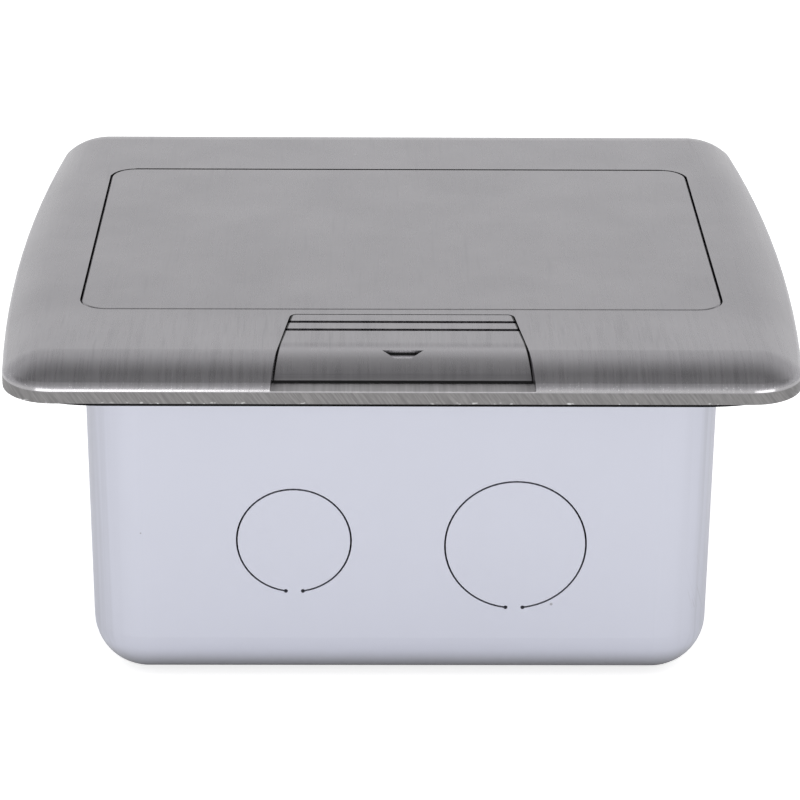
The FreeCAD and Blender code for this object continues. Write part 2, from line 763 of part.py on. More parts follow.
def make_cover_frame():
    """Cast cover: swept rim, lid opening with its ledge, latch channel, hinge lugs and bosses."""
    body = new_body("cover_frame")
    outline = new_sketch(body, "CoverOutline", "XY", cover_under)
    bowed_outline(outline)
    pad(outline, "cover_rise")
    profile = new_sketch(body, "RimProfile", "YZ")
    rim_profile(profile, cover_front)
    rim = body.newObject("PartDesign::SubtractivePipe", "RimSweep")
    rim.Profile = profile
    rim.Spine = (outline, [f"Edge{i + 1}" for i in range(8)])
    doc.recompute()

    # lid opening, its ledge and the clear space under the ledge
    opening = new_sketch(body, "LidOpening", "XY", top)
    rectangle(opening, f"-{opening_side}", opening_side, f"-{opening_end}", opening_end)
    pocket(opening, f"{top} - {ledge_top}")
    dress("Fillet", body, "lid_corner + lid_gap", corner_at(opening_side, opening_end, ledge_top))
    inside = new_sketch(body, "LedgeOpening", "XY", ledge_top)
    rectangle(inside, f"-{ledge_side}", ledge_side, ledge_front, "pivot_back + 1")
    pocket(inside, f"{ledge_top} - {cover_under}")
    under = new_sketch(body, "UnderLedge", "XY", ledge_under)
    rectangle(
        under, f"-({box_inner_side} + 1)", f"({box_inner_side} + 1)", ledge_front, "pivot_back + 8"
    )
    pocket(under, f"{ledge_under} - {cover_under}")

    # room for the back edge of the lid, which dips as the lid turns
    relief = new_sketch(body, "LidRelief", "XY", pivot_z, up="pivot_back")
    lid_relief(relief)
    groove = body.newObject("PartDesign::Groove", "LidReliefGroove")
    groove.Profile = relief
    groove.ReferenceAxis = (relief, ["H_Axis"])
    groove.Midplane = True
    groove.Angle = 180
    doc.recompute()

    # space for the torsion springs beside the hinge lugs
    notch = new_sketch(body, "SpringNotches", "XY", ledge_top)
    for side in SIDES:
        rectangle(
            notch, f"{side} * ({ledge_side} - 1)", f"{side} * hinge_lug_inner",
            "pivot_back - torsion_coil / 2 - torsion_wire", "pivot_back + 1",
        )
    pocket(notch, "ledge_thickness")

    # latch channel, open to the front, and the slots for the slider's stems
    channel = new_sketch(body, "LatchChannel", "XY", top)
    channel_back = f"({slider_back} + slider_gap)"
    front_half = "(channel_front_width / 2)"
    back_half = "(slider_back_width / 2 + slider_gap)"
    polygon(channel, [
        (f"-{front_half}", f"({cover_front} - 2)"), (front_half, f"({cover_front} - 2)"),
        (front_half, cover_front), (back_half, channel_back),
        (f"-{back_half}", channel_back), (f"-{front_half}", cover_front),
    ])
    pocket(channel, f"{top} - {channel_floor}")
    dress("Fillet", body, "slider_back_round + slider_gap", corner_at(
        back_half, channel_back, channel_floor
    ))
    slots = new_sketch(body, "StemSlots", "XY", channel_floor)
    for side in SIDES:
        stem_x = f"{side} * stem_across / 2"
        rectangle(
            slots, f"{stem_x} - stem_width / 2 - slider_gap", f"{stem_x} + stem_width / 2 + slider_gap",
            f"{stem_back} - stem_depth - latch_travel - slider_gap", f"{stem_back} + slider_gap",
        )
    pocket(slots, f"{channel_floor} - {cover_under}")

    # hollows of the casting, open below, with ribs left between them
    hollows = new_sketch(body, "CastHollows", "XY", f"{top} - cover_skin")
    boss_side = "(retainer_screw_across / 2 + retainer_boss / 2 + cover_rib / 2)"
    back_wall = f"(pivot_back + {lid_swing} + lid_gap + cover_rib)"
    land_front, land_back = "(-cover_depth / 2 + cover_land)", "(cover_depth / 2 - cover_land)"
    for side in SIDES:
        split = f"(({boss_side} + {opening_side}) / 2)"
        for near, far in ((boss_side, f"({split} - cover_rib / 2)"), (f"({split} + cover_rib / 2)", opening_side)):
            rectangle(
                hollows, f"{side} * {near}", f"{side} * {far}", land_front, f"-({opening_end} + cover_skin)"
            )
        rectangle(hollows, f"{side} * cover_rib / 2", f"{side} * {split}", back_wall, land_back)
        rectangle(hollows, f"{side} * ({split} + cover_rib)", f"{side} * {opening_side}", back_wall, land_back)
    pocket(hollows, f"{top} - cover_skin - {cover_under}")

    # bosses for the cover screws and for the latch retainer
    bosses = new_sketch(body, "ScrewBosses", "XY", ledge_under)
    for side, y in screw_places():
        circle(bosses, f"{side} * cover_screw_across / 2", y, "boss_width")
    pad(bosses, f"{ledge_under} - {lug_top} - boss_lift", back=True)
    flats = new_sketch(body, "BossFlats", "XY", cover_under)
    for side in SIDES:
        rectangle(
            flats, f"{side} * ({box_inner_side} - boss_side_gap)", f"{side} * box_width / 2",
            "-cover_screw_front - boss_width", "cover_screw_back + boss_width",
        )
    pocket(flats, f"{cover_under} - {lug_top} - boss_lift")
    holes = new_sketch(body, "ScrewHoles", "XY", ledge_top)
    for side, y in screw_places():
        circle(holes, f"{side} * cover_screw_across / 2", y, "cover_screw + screw_slack")
    pocket(holes, f"{ledge_top} - {lug_top} + 1")
    hole = number("cover_screw + screw_slack") / 2
    dress("Chamfer", body, "(cover_screw_head - cover_screw - screw_slack) / 2 + 0.05", lambda edge: (
        edge.Curve.TypeId == "Part::GeomCircle" and abs(edge.Curve.Radius - hole) < 1e-4
        and close(edge.BoundBox.ZMin, ledge_top) and close(edge.BoundBox.ZMax, ledge_top)
    ))
    posts = new_sketch(body, "RetainerBosses", "XY", cover_under)
    for side in SIDES:
        circle(posts, f"{side} * retainer_screw_across / 2", retainer_middle, "retainer_boss")
    pad(posts, "retainer_drop", back=True)
    threads = new_sketch(body, "RetainerThreads", "XY", cover_under)
    for side in SIDES:
        circle(threads, f"{side} * retainer_screw_across / 2", retainer_middle, "small_screw + pin_slack")
    pocket(threads, "retainer_drop")

    # hinge lugs with the pin holes, and the ribs that the springs push on
    for side in SIDES:
        word = "Left" if side == "-1" else "Right"
        lug_x = f"{side} * (hinge_lug_inner + hinge_lug_thickness / 2)"
        web = new_sketch(body, f"HingeWeb{word}", "YZ", lug_x, "pivot_back", pivot_z)
        polygon(web, [
            ("-2 * hinge_lug_round", f"({ledge_under} - {pivot_z} + ledge_thickness / 2)"),
            ("-2 * hinge_lug_round", "-hinge_lug_round"),
            ("-hinge_lug_round", "-hinge_lug_drop"), ("hinge_lug_back", "-hinge_lug_drop"),
            ("hinge_lug_back", "-1.17 * hinge_lug_round"), ("0.6 * hinge_lug_round", "-0.8 * hinge_lug_round"),
            ("0", f"({ledge_under} - {pivot_z} + ledge_thickness / 2)"),
        ])
        pad(web, "hinge_lug_thickness", both=True)
        eye = new_sketch(body, f"HingeEye{word}", "YZ", lug_x, "pivot_back", pivot_z)
        circle(eye, "0", "0", "2 * hinge_lug_round")
        pad(eye, "hinge_lug_thickness", both=True)
        bore = new_sketch(body, f"PinHole{word}", "YZ", lug_x, "pivot_back", pivot_z)
        circle(bore, "0", "0", "pin_width + pin_slack")
        pocket(bore, "hinge_lug_thickness * 2", both=True)
        rib = new_sketch(body, f"SpringRib{word}", "YZ", f"{side} * (hinge_lug_inner - 0.7)",
                         "pivot_back", pivot_z)
        rib_face = "(torsion_coil / 2 + torsion_wire / 2 + 0.1)"
        rectangle(rib, rib_face, "hinge_lug_back", "-hinge_lug_drop", "-1.17 * hinge_lug_round")
        pad(rib, "2.4", both=True)
    return body


def lid_relief(sketch):
    """Half section of the space that the lid's back edge sweeps, drawn from the hinge axis."""
    straight = "(lid_width / 2 - lid_corner)"
    wide = opening_side
    deep = f"({lid_swing} + lid_gap)"
    shallow = "(sqrt((lid_depth / 2 - lid_corner - pivot_back)^2 + pivot_drop^2) + lid_gap)"
    # where three quarters of the corner's radius are passed, its edge stands this far back
    part_way = "(lid_width / 2 - lid_corner / 4)"
    corner_edge = "(lid_depth / 2 - lid_corner - pivot_back + lid_corner * sqrt(1 - 0.75^2))"
    between = f"(sqrt({corner_edge}^2 + pivot_drop^2) + lid_gap)"
    points = [
        (f"-{wide}", "0"), (wide, "0"), (wide, shallow), (part_way, between), (straight, deep),
        (f"-{straight}", deep), (f"-{part_way}", between), (f"-{wide}", shallow),
    ]
    polygon(sketch, points)


def make_gasket():
    """Flat ring under the cover, set in from its edge."""
    body = new_body("cover_gasket")
    ring = new_sketch(body, "GasketRing", "XY", "box_height")
    bowed_outline(ring, "gasket_inset")
    wide = "(cover_width / 2 - gasket_inset - gasket_width)"
    deep = "(cover_depth / 2 - gasket_inset - gasket_width)"
    rectangle(ring, f"-{wide}", wide, f"-{deep}", deep)
    pad(ring, "gasket_thickness")
    return body


def make_lid_seal():
    """Soft strip on the ledge, along the front and both sides of the opening."""
    body = new_body("lid_seal")
    strip = new_sketch(body, "SealStrip", "XY", ledge_top)
    out_x, out_y = f"({opening_side} - seal_side_gap)", f"(-{opening_end} + seal_side_gap)"
    in_x, in_y = f"({out_x} - seal_width)", f"({out_y} + seal_width)"
    end = "(pivot_back - 4)"
    polygon(strip, [
        (f"-{out_x}", out_y), (out_x, out_y), (out_x, end), (in_x, end),
        (in_x, in_y), (f"-{in_x}", in_y), (f"-{in_x}", end), (f"-{out_x}", end),
    ])
    pad(strip, "seal_thickness")
    outer_round = "(lid_corner + lid_gap - seal_side_gap)"
    for radius, line in ((outer_round, out_y), (f"{outer_round} - seal_width", in_y)):
        level = number(line)
        dress("Fillet", body, radius, lambda edge: upright(edge) and abs(middle(edge).y - level) < 0.01)
    return body


def make_cover_screws():
    screws = []
    for i, (side, y) in enumerate(screw_places(), start=1):
        screw = sunk_screw(f"CoverScrew{i}", "cover_screw", "cover_screw_head", "cover_screw_length")
        screws.append(place(screw, f"{side} * cover_screw_across / 2", y, ledge_top))
    return group("cover_screws", screws)


# ---------------------------------------------------------------------------
# Hinge
# ---------------------------------------------------------------------------
def make_hinge_pins():
    """Two pins pressed into the frame's lugs. The carrier's bushes turn on their inner ends."""
    pins = []
    for side in SIDES:
        inner = f"({carrier_inside} - bush_flange)"
        outer = "(hinge_lug_inner + hinge_lug_thickness)"
        start = inner if side == "1" else f"-{outer}"
        pins.append(rod(
            f"HingePin{len(pins) + 1}", "pin_width", f"{outer} - {inner}",
            start, "pivot_back", pivot_z, "right",
        ))
    return group("hinge_pins", pins)


def make_hinge_bushes():
    """Flanged bushes pressed into the carrier's ears."""
    bushes = []
    for side in SIDES:
        name = f"HingeBush{len(bushes) + 1}"
        inner, outer = f"({carrier_inside} - bush_flange)", carrier_side
        start = inner if side == "1" else f"-{outer}"
        sleeve = rod(
            name + "Sleeve", "pin_width + pin_slack * 2 + bush_wall * 2", f"{outer} - {inner}",
            start, "pivot_back", pivot_z, "right",
        )
        flange = rod(
            name + "Flange", "bush_flange_width", "bush_flange",
            inner if side == "1" else f"-{carrier_inside}", "pivot_back", pivot_z, "right",
        )
        bore = rod(
            name + "Bore", "pin_width + pin_slack * 2", "carrier_wall * 3",
            f"{start} - carrier_wall", "pivot_back", pivot_z, "right",
        )
        bushes.append(cut(name, fuse(name + "Blank", [sleeve, flange]), bore))
    return group("hinge_bushes", bushes)


def coil(name, radius, wire, turns, pitch):
    """Pieces of a round-wire coil along Z, from the point at +X: tilted half turns end to end.

    Each half turn lies in a plane that holds the Y direction, so the next one, or a straight leg
    along Y, leaves it without a kink.
    """
    rise = number(pitch) / 4
    tilt = math.degrees(math.atan2(rise, number(radius)))
    pieces = []
    for i in range(2 * turns):
        half_turn = doc.addObject("Part::Torus", f"{name}Turn{i + 1}")
        half_turn.Angle3 = 180
        half_turn.Placement = FreeCAD.Placement(
            FreeCAD.Vector(0, 0, 0), FreeCAD.Rotation(180 * (i % 2), tilt, 0)
        )
        bind(half_turn, {
            "Radius1": f"sqrt(({radius})^2 + (({pitch}) / 4)^2)",
            "Radius2": f"({wire}) / 2",
            "Placement.Base.z": f"({pitch}) * {(2 * i + 1) / 4}",
        })
        pieces.append(half_turn)
    return pieces


def make_torsion_springs():
    """A coil on each pin: its inner leg lifts the lid, its outer leg bears on the frame's rib."""
    turns = int(number("torsion_turns"))
    height = f"torsion_pitch * {turns}"
    pieces = coil("TorsionSpring", "torsion_coil / 2", "torsion_wire", turns, "torsion_pitch")
    bend = doc.addObject("Part::Torus", "TorsionSpringBend")
    bend.Angle3 = 90
    bind(bend, {"Radius1": "torsion_coil / 2", "Radius2": "torsion_wire / 2", "Placement.Base.z": height})
    lift = rod("TorsionSpringLift", "torsion_wire", "torsion_leg", "torsion_coil / 2", "-torsion_leg", "0", "back")
    tail = rod(
        "TorsionSpringTail", "torsion_wire", "torsion_tail", "-torsion_tail", "torsion_coil / 2", height, "right"
    )
    left = fuse("TorsionSpringLeft", pieces + [bend, lift, tail])
    left.Placement = FreeCAD.Placement(
        FreeCAD.Vector(0, 0, 0), FreeCAD.Rotation(FreeCAD.Vector(0, 1, 0), -90)
    )
    bind(left, {
        "Placement.Base.x": f"-({carrier_side} + torsion_side_gap + torsion_wire / 2)",
        "Placement.Base.y": "pivot_back",
        "Placement.Base.z": pivot_z,
    })
    right = doc.addObject("Part::Mirroring", "TorsionSpringRight")
    right.Source = left
    right.Normal = FreeCAD.Vector(1, 0, 0)
    return group("torsion_springs", [left, right])


# ---------------------------------------------------------------------------
# Latch
# ---------------------------------------------------------------------------
def make_latch_slider():
    """Thumb slider: its back follows the cover's rim, with two grip grooves and an arrow."""
    body = new_body("latch_slider")
    plan = new_sketch(body, "SliderPlan", "XY", slider_under)
    front_half, back_half = "(slider_front_width / 2)", "(slider_back_width / 2)"
    polygon(plan, [
        (f"-{front_half}", slider_front), (front_half, slider_front),
        (back_half, slider_back), (f"-{back_half}", slider_back),
    ])
    pad(plan, f"{top} - {slider_under}")
    dress("Fillet", body, "slider_back_round", lambda edge: (
        upright(edge) and close(middle(edge).y, slider_back)
    ))
    profile = new_sketch(body, "SliderProfile", "YZ")
    rim_profile(profile, slider_front)
    pocket(profile, "slider_front_width + 2", both=True)
    grooves = new_sketch(body, "GripGrooves", "YZ")
    for line in ("first_groove", "second_groove"):
        back = f"({slider_back} - {line} + groove_width / 2)"
        rectangle(grooves, f"({back} - groove_width)", back, f"({top} - groove_depth)", f"({top} + 1)")
    pocket(grooves, "slider_front_width + 2", both=True)
    arrow = new_sketch(body, "Arrow", "XY", f"({top} + 1)")
    polygon(arrow, [
        ("0", f"({cover_front} + arrow_tip)"), ("arrow_width / 2", f"({cover_front} + arrow_base)"),
        ("-arrow_width / 2", f"({cover_front} + arrow_base)"),
    ])
    pocket(arrow, "arrow_drop + 1")
    stems = new_sketch(body, "SliderStems", "XY", slider_under)
    for side in SIDES:
        stem_x = f"{side} * stem_across / 2"
        rectangle(
            stems, f"{stem_x} - stem_width / 2", f"{stem_x} + stem_width / 2",
            f"{stem_back} - stem_depth", stem_back,
        )
    pad(stems, f"{slider_under} - {bolt_top}", back=True)
    threads = new_sketch(body, "StemThreads", "XY", f"({slider_under} + 1)")
    for side in SIDES:
        circle(threads, f"{side} * stem_across / 2", stem_middle, "latch_screw")
    pocket(threads, f"{slider_under} + 1 - {bolt_top}")
    return body


def make_latch_bolt():
    """Flat bolt under the cover: a bevelled nose over the keeper and notches for its springs."""
    body = new_body("latch_bolt")
    plan = new_sketch(body, "BoltPlan", "XY", bolt_under)
    half, nose = "(bolt_width / 2)", "(nose_width / 2)"
    near = "(spring_across / 2 - spring_coil / 2 - spring_wire / 2 - 0.3)"
    far = "(spring_across / 2 + spring_coil / 2 + spring_wire / 2 + 0.3)"
    seat, tip = f"({bolt_back} - spring_seat)", f"({bolt_back} + nose_reach)"
    right = [
        (near, bolt_front), (near, seat), (far, seat), (far, bolt_front), (half, bolt_front),
        (half, bolt_back), (nose, bolt_back), (nose, tip),
    ]
    left = [(f"-{x}", y) for x, y in reversed(right)]
    polygon(plan, right + left)
    pad(plan, "bolt_thickness")
    level = number(tip)
    dress("Chamfer", body, "nose_bevel", lambda edge: (
        abs(edge.BoundBox.YMin - level) < 1e-3 and abs(edge.BoundBox.YMax - level) < 1e-3
        and close(edge.BoundBox.ZMin, bolt_top)
    ))
    holes = new_sketch(body, "BoltHoles", "XY", bolt_top)
    for side in SIDES:
        circle(holes, f"{side} * stem_across / 2", stem_middle, "latch_screw + 0.2")
    pocket(holes, "bolt_thickness")
    return body


def make_latch_screws():
    screws = []
    for side in SIDES:
        screw = pan_screw(
            f"LatchScrew{len(screws) + 1}", "latch_screw - pin_slack", "small_head - 0.8", "small_head_high",
            "bolt_thickness + 2.4",
        )
        screws.append(place(screw, f"{side} * stem_across / 2", stem_middle, bolt_under, "180"))
    return group("latch_screws", screws)


spring_post_back = f"({bolt_front} - post_gap)"


def make_latch_retainer():
    """Plate under the bolt, with two posts that the latch springs push from."""
    body = new_body("latch_retainer")
    plan = new_sketch(body, "RetainerPlan", "XY", f"({retainer_top} - retainer_thickness)")
    front = f"({spring_post_back} - post_thickness)"
    rectangle(plan, "-retainer_width / 2", "retainer_width / 2", front,
              f"({retainer_middle} + retainer_depth / 2)")
    pad(plan, "retainer_thickness")
    posts = new_sketch(body, "SpringPosts", "XY", retainer_top)
    for side in SIDES:
        x = f"{side} * spring_across / 2"
        rectangle(posts, f"{x} - spring_coil / 2", f"{x} + spring_coil / 2", front, spring_post_back)
    pad(posts, "retainer_drop - bolt_gap")
    holes = new_sketch(body, "RetainerHoles", "XY", retainer_top)
    for side in SIDES:
        circle(holes, f"{side} * retainer_screw_across / 2", retainer_middle, "small_screw + 0.2")
    pocket(holes, "retainer_thickness")
    dress("Fillet", body, "post_thickness", lambda edge: (
        upright(edge) and close(edge.BoundBox.ZMax, retainer_top)
        and abs(abs(middle(edge).x) - number("retainer_width / 2")) < 0.01
    ))
    return body


def make_retainer_screws():
    screws = []
    for side in SIDES:
        screw = pan_screw(
            f"RetainerScrew{len(screws) + 1}", "small_screw", "small_head", "small_head_high",
            "retainer_thickness + retainer_drop - 0.5",
        )
        screws.append(place(
            screw, f"{side} * retainer_screw_across / 2", retainer_middle,
            f"{retainer_top} - retainer_thickness", "180",
        ))
    return group("retainer_screws", screws)


def make_latch_springs():
    """Two compression springs that hold the bolt over the keeper."""
    springs = []
    gap = f"({bolt_back} - spring_seat - {spring_post_back})"
    for side in SIDES:
        name = f"LatchSpring{len(springs) + 1}"
        turns = int(number("spring_turns"))
        pitch = f"(({gap} - spring_wire - 0.1) / {turns})"
        wire = fuse(name, coil(name, "spring_coil / 2", "spring_wire", turns, pitch))
        wire.Placement = FreeCAD.Placement(FreeCAD.Vector(0, 0, 0), TURNS["back"])
        bind(wire, {
            "Placement.Base.x": f"{side} * spring_across / 2",
            "Placement.Base.y": f"{spring_post_back} + spring_wire / 2 + 0.05",
            "Placement.Base.z": f"({retainer_top} + {cover_under}) / 2",
        })
        springs.append(wire)
    return group("latch_springs", springs)


# ---------------------------------------------------------------------------
# Lid and socket carrier
# ---------------------------------------------------------------------------
def lid_screw_places():
    return [(x, y) for x in ("-lid_screw_across / 2", "0", "lid_screw_across / 2")
            for y in ("lid_screw_front", "lid_screw_back")]


def make_lid_plate():
    body = new_body("lid_plate")
    plan = new_sketch(body, "LidPlan", "XY", lid_under)
    rectangle(plan, "-lid_width / 2", "lid_width / 2", "-lid_depth / 2", "lid_depth / 2")
    pad(plan, "lid_thickness")
    dress("Fillet", body, "lid_corner", upright)
    dress("Chamfer", body, "lid_edge_bevel", lambda edge: close(edge.BoundBox.ZMin, top))
    threads = new_sketch(body, "LidThreads", "XY", f"({lid_under} + lid_screw_bite + 0.2)")
    for x, y in lid_screw_places():
        circle(threads, x, y, "small_screw + pin_slack")
    pocket(threads, "lid_screw_bite + 0.2")
    return body


def make_lid_screws():
    screws = []
    for x, y in lid_screw_places():
        screw = sunk_screw(
            f"LidScrew{len(screws) + 1}", "small_screw", "small_head", "carrier_wall + lid_screw_bite"
        )
        screws.append(place(screw, x, y, flange_under, "180"))
    return group("lid_screws", screws)


def open_to_shut(y, z):
    """Where a point given from the hinge with the lid open lies when the lid is shut."""
    return (
        f"(({y}) * cos(open_angle) - ({z}) * sin(open_angle))",
        f"(({y}) * sin(open_angle) + ({z}) * cos(open_angle))",
    )


def make_socket_carrier():
    """Moulded housing under the lid: inclined outlet face, cheeks, ears and stop pegs."""
    body = new_body("socket_carrier")
    side_view = new_sketch(body, "CarrierSide", "YZ")
    ear = "(pivot_back + ear_back)"
    polygon(side_view, [
        (face_line(lid_under), lid_under), (face_line(carrier_bottom), carrier_bottom),
        ("carrier_back", carrier_bottom), ("carrier_back", f"({lid_under} - ear_high)"),
        ("(pivot_back - ear_back)", f"({pivot_z} - ear_back * 1.3)"), (ear, f"({pivot_z} - ear_back)"),
        (ear, lid_under),
    ])
    pad(side_view, "carrier_width", both=True)
    low = number(carrier_bottom)
    dress("Fillet", body, "carrier_wall * 1.5", lambda edge: (
        abs(edge.BoundBox.ZMin - low) < 1e-3 and abs(edge.BoundBox.ZMax - low) < 1e-3
        and edge.BoundBox.XLength < 1e-3
    ))

    # hollow: deep behind the latch recess, then out to the face wall on both sides
    hollow = new_sketch(body, "CarrierHollow", "YZ")
    floor_level = f"({carrier_bottom} + carrier_wall)"
    thick = "(latch_recess + carrier_wall)"
    behind = "(pivot_back + ear_back + 1)"
    polygon(hollow, [
        (face_line(flange_under, thick), flange_under), (face_line(floor_level, thick), floor_level),
        (behind, floor_level), (behind, flange_under),
    ])
    pocket(hollow, f"2 * {carrier_inside}", both=True)
    for side in SIDES:
        word = "Left" if side == "-1" else "Right"
        inner = "(recess_width / 2 + carrier_wall)"
        bay = new_sketch(body, f"OutletBay{word}", "YZ", f"{side} * ({inner} + {carrier_inside}) / 2")
        polygon(bay, [
            (face_line(flange_under, "carrier_wall"), flange_under),
            (face_line(floor_level, "carrier_wall"), floor_level),
            (f"({face_line(floor_level, thick)} + 1)", floor_level),
            (f"({face_line(flange_under, thick)} + 1)", flange_under),
        ])
        pocket(bay, f"{carrier_inside} - {inner}", both=True)

    # recess that clears the latch's nose, with the keeper screwed to its floor
    recess = new_sketch(body, "LatchRecess", "YZ")
    recess_top = f"({bolt_top} + 0.4)"
    polygon(recess, [
        (f"({face_line(recess_top)} - 3)", recess_top),
        (f"({face_line(carrier_bottom)} - 3)", f"({carrier_bottom} - 1)"),
        (face_line(f"({carrier_bottom} - 1)", "latch_recess"), f"({carrier_bottom} - 1)"),
        (face_line(recess_top, "latch_recess"), recess_top),
    ])
    pocket(recess, "recess_width", both=True)

    # openings and screw holes in the outlet face
    for side in SIDES:
        word = "Left" if side == "-1" else "Right"
        window = new_face_sketch(body, f"OutletWindow{word}", "-outlet_drop", "-1", f"{side} * outlet_spacing / 2")
        wide = "(outlet_face_width / 2 + outlet_gap)"
        high = "(outlet_face_high / 2 + outlet_gap)"
        rectangle(window, f"-{wide}", wide, f"-{high}", high)
        pocket(window, "carrier_wall + 1.5")
        holes = new_face_sketch(body, f"OutletHoles{word}", "-outlet_drop", "0", f"{side} * outlet_spacing / 2")
        for end in SIDES:
            circle(holes, "0", f"{end} * outlet_screw_high", "small_screw + 0.2")
        pocket(holes, "carrier_wall + 0.5")
    face_holes(body, "small_screw + 0.2", "-outlet_drop")

    # flange holes for the lid screws
    flange = new_sketch(body, "FlangeHoles", "XY", lid_under)
    for x, y in lid_screw_places():
        circle(flange, x, y, "small_screw + 0.2")
    pocket(flange, "carrier_wall")
    level = number(flange_under)
    dress("Chamfer", body, "(small_head - small_screw - 0.2) / 2 + 0.05", lambda edge: (
        edge.Curve.TypeId == "Part::GeomCircle" and abs(edge.BoundBox.ZMin - level) < 1e-3
        and abs(edge.BoundBox.ZMax - level) < 1e-3
    ))
    keeper_holes = new_face_sketch(body, "KeeperHoles", keeper_screw_along, "latch_recess")
    for side in SIDES:
        circle(keeper_holes, f"{side} * keeper_screw_across / 2", "0", "small_screw - 0.5 + pin_slack")
    pocket(keeper_holes, "carrier_wall + 0.2")

    # corner posts for the wiring cover
    posts = new_sketch(body, "CoverPosts", "XZ", f"(carrier_back - cover_plate - cover_plate_gap)")
    for side in SIDES:
        near, far = f"{side} * ({carrier_inside} - post_width)", f"{side} * ({carrier_inside} + 0.5)"
        rectangle(posts, near, far, f"({floor_level} - 0.5)", f"({floor_level} + post_width)")
        rectangle(posts, near, far, f"({flange_under} - post_width)", f"({flange_under} + 0.5)")
    pad(posts, "post_length")
    threads = new_sketch(body, "PostThreads", "XZ", f"(carrier_back - cover_plate - cover_plate_gap)")
    for x, z in wiring_screw_places():
        circle(threads, x, z, "small_screw + pin_slack")
    pocket(threads, "post_length - 2", back=True)

    # ears bored for the bushes, and the pegs that stop the lid
    bores = new_sketch(body, "BushBores", "YZ", "0", "pivot_back", pivot_z)
    circle(bores, "0", "0", "pin_width + pin_slack * 2 + bush_wall * 2")
    pocket(bores, "carrier_width + 2", both=True)
    for side in SIDES:
        word = "Left" if side == "-1" else "Right"
        seat_depth = "(bush_flange + bush_seat_gap)"
        seat = new_sketch(
            body, f"BushSeat{word}", "YZ", f"{side} * ({carrier_inside} - {seat_depth} / 2)",
            "pivot_back", pivot_z,
        )
        circle(seat, "0", "0", "bush_flange_width + 2 * bush_seat_gap")
        pocket(seat, seat_depth, both=True)
    peg_y, peg_z = open_to_shut(
        "-stop_reach", f"({ledge_under} - {pivot_z} - stop_peg / 2 - stop_slack)"
    )
    for side in SIDES:
        word = "Left" if side == "-1" else "Right"
        reach = f"(hinge_lug_inner - {carrier_side} + 0.5)"
        peg = new_sketch(body, f"StopPeg{word}", "YZ", f"{side} * ({carrier_side} - 0.5 + {reach} / 2)",
                         "pivot_back", pivot_z)
        circle(peg, peg_y, peg_z, "stop_peg")
        pad(peg, reach, both=True)
    return body


keeper_screw_along = f"(({keeper_top} - keeper_lip - keeper_leg * 0.5 - {pivot_z} + face_distance * sin(face_tilt)) / cos(face_tilt))"


def face_holes(body, width, along):
    """Countersink the outlet screw holes on the inclined face."""
    radius = number(width) / 2
    spots = []
    for side in SIDES:
        for end in SIDES:
            y, z = face_point(f"{along} + {end} * outlet_screw_high")
            spots.append(FreeCAD.Vector(number(f"{side} * outlet_spacing / 2"), number(y), number(z)))
    dress("Chamfer", body, "(small_head - small_screw - 0.2) / 2 + 0.05", lambda edge: (
        edge.Curve.TypeId == "Part::GeomCircle" and abs(edge.Curve.Radius - radius) < 1e-4
        and any((edge.Curve.Center - spot).Length < 0.01 for spot in spots)
    ))


def wiring_screw_places():
    """(X, Z) of the four screws of the wiring cover."""
    x = f"({carrier_inside} - post_width / 2)"
    low = f"({carrier_bottom} + carrier_wall + post_width / 2)"
    high = f"({flange_under} - post_width / 2)"
    return [(f"{side} * {x}", z) for side in SIDES for z in (low, high)]


def make_wiring_cover():
    """Plate that closes the back of the carrier, with a hole for the cable's grommet."""
    body = new_body("wiring_cover")
    plate = new_sketch(body, "CoverPlate", "XZ", "carrier_back - cover_plate_gap")
    wide = f"({carrier_inside} - cover_plate_gap)"
    low = f"({carrier_bottom} + carrier_wall + cover_plate_gap)"
    high = f"({flange_under} - cover_plate_gap)"
    rectangle(plate, f"-{wide}", wide, low, high)
    circle(plate, "0", grommet_high, "cable_hole")
    pad(plate, "cover_plate")
    holes = new_sketch(body, "CoverPlateHoles", "XZ", "carrier_back - cover_plate_gap - cover_plate")
    for x, z in wiring_screw_places():
        circle(holes, x, z, "small_screw + 0.2")
    pocket(holes, "cover_plate")
    return body


grommet_high = f"({carrier_bottom} + carrier_depth * 0.42)"


def make_wiring_screws():
    screws = []
    for x, z in wiring_screw_places():
        screw = pan_screw(
            f"WiringScrew{len(screws) + 1}", "small_screw", "small_head", "small_head_high", "small_screw_length"
        )
        screws.append(place(screw, x, "carrier_back - cover_plate_gap", z, "-90"))
    return group("wiring_screws", screws)


def make_cable_grommet():
    """Rubber grommet in the wiring cover."""
    body = new_body("cable_grommet")
    half = new_sketch(body, "GrommetHalf", "YZ", "0", "carrier_back - cover_plate_gap - cover_plate / 2",
                      grommet_high)
    bore, neck = "(cable_hole / 2 - grommet_wall)", "(cable_hole / 2 - 0.05)"
    rim = "(cable_hole / 2 + grommet_lip)"
    inner, outer = "(cover_plate / 2 + 0.05)", "(cover_plate / 2 + grommet_wall)"
    polygon(half, [
        (f"-{outer}", bore), (outer, bore), (outer, rim), (inner, rim), (inner, neck),
        (f"-{inner}", neck), (f"-{inner}", rim), (f"-{outer}", rim),
    ])
    ring = body.newObject("PartDesign::Revolution", "GrommetRing")
    ring.Profile = half
    ring.ReferenceAxis = (half, ["H_Axis"])
    ring.Angle = 360
    doc.recompute()
    return body


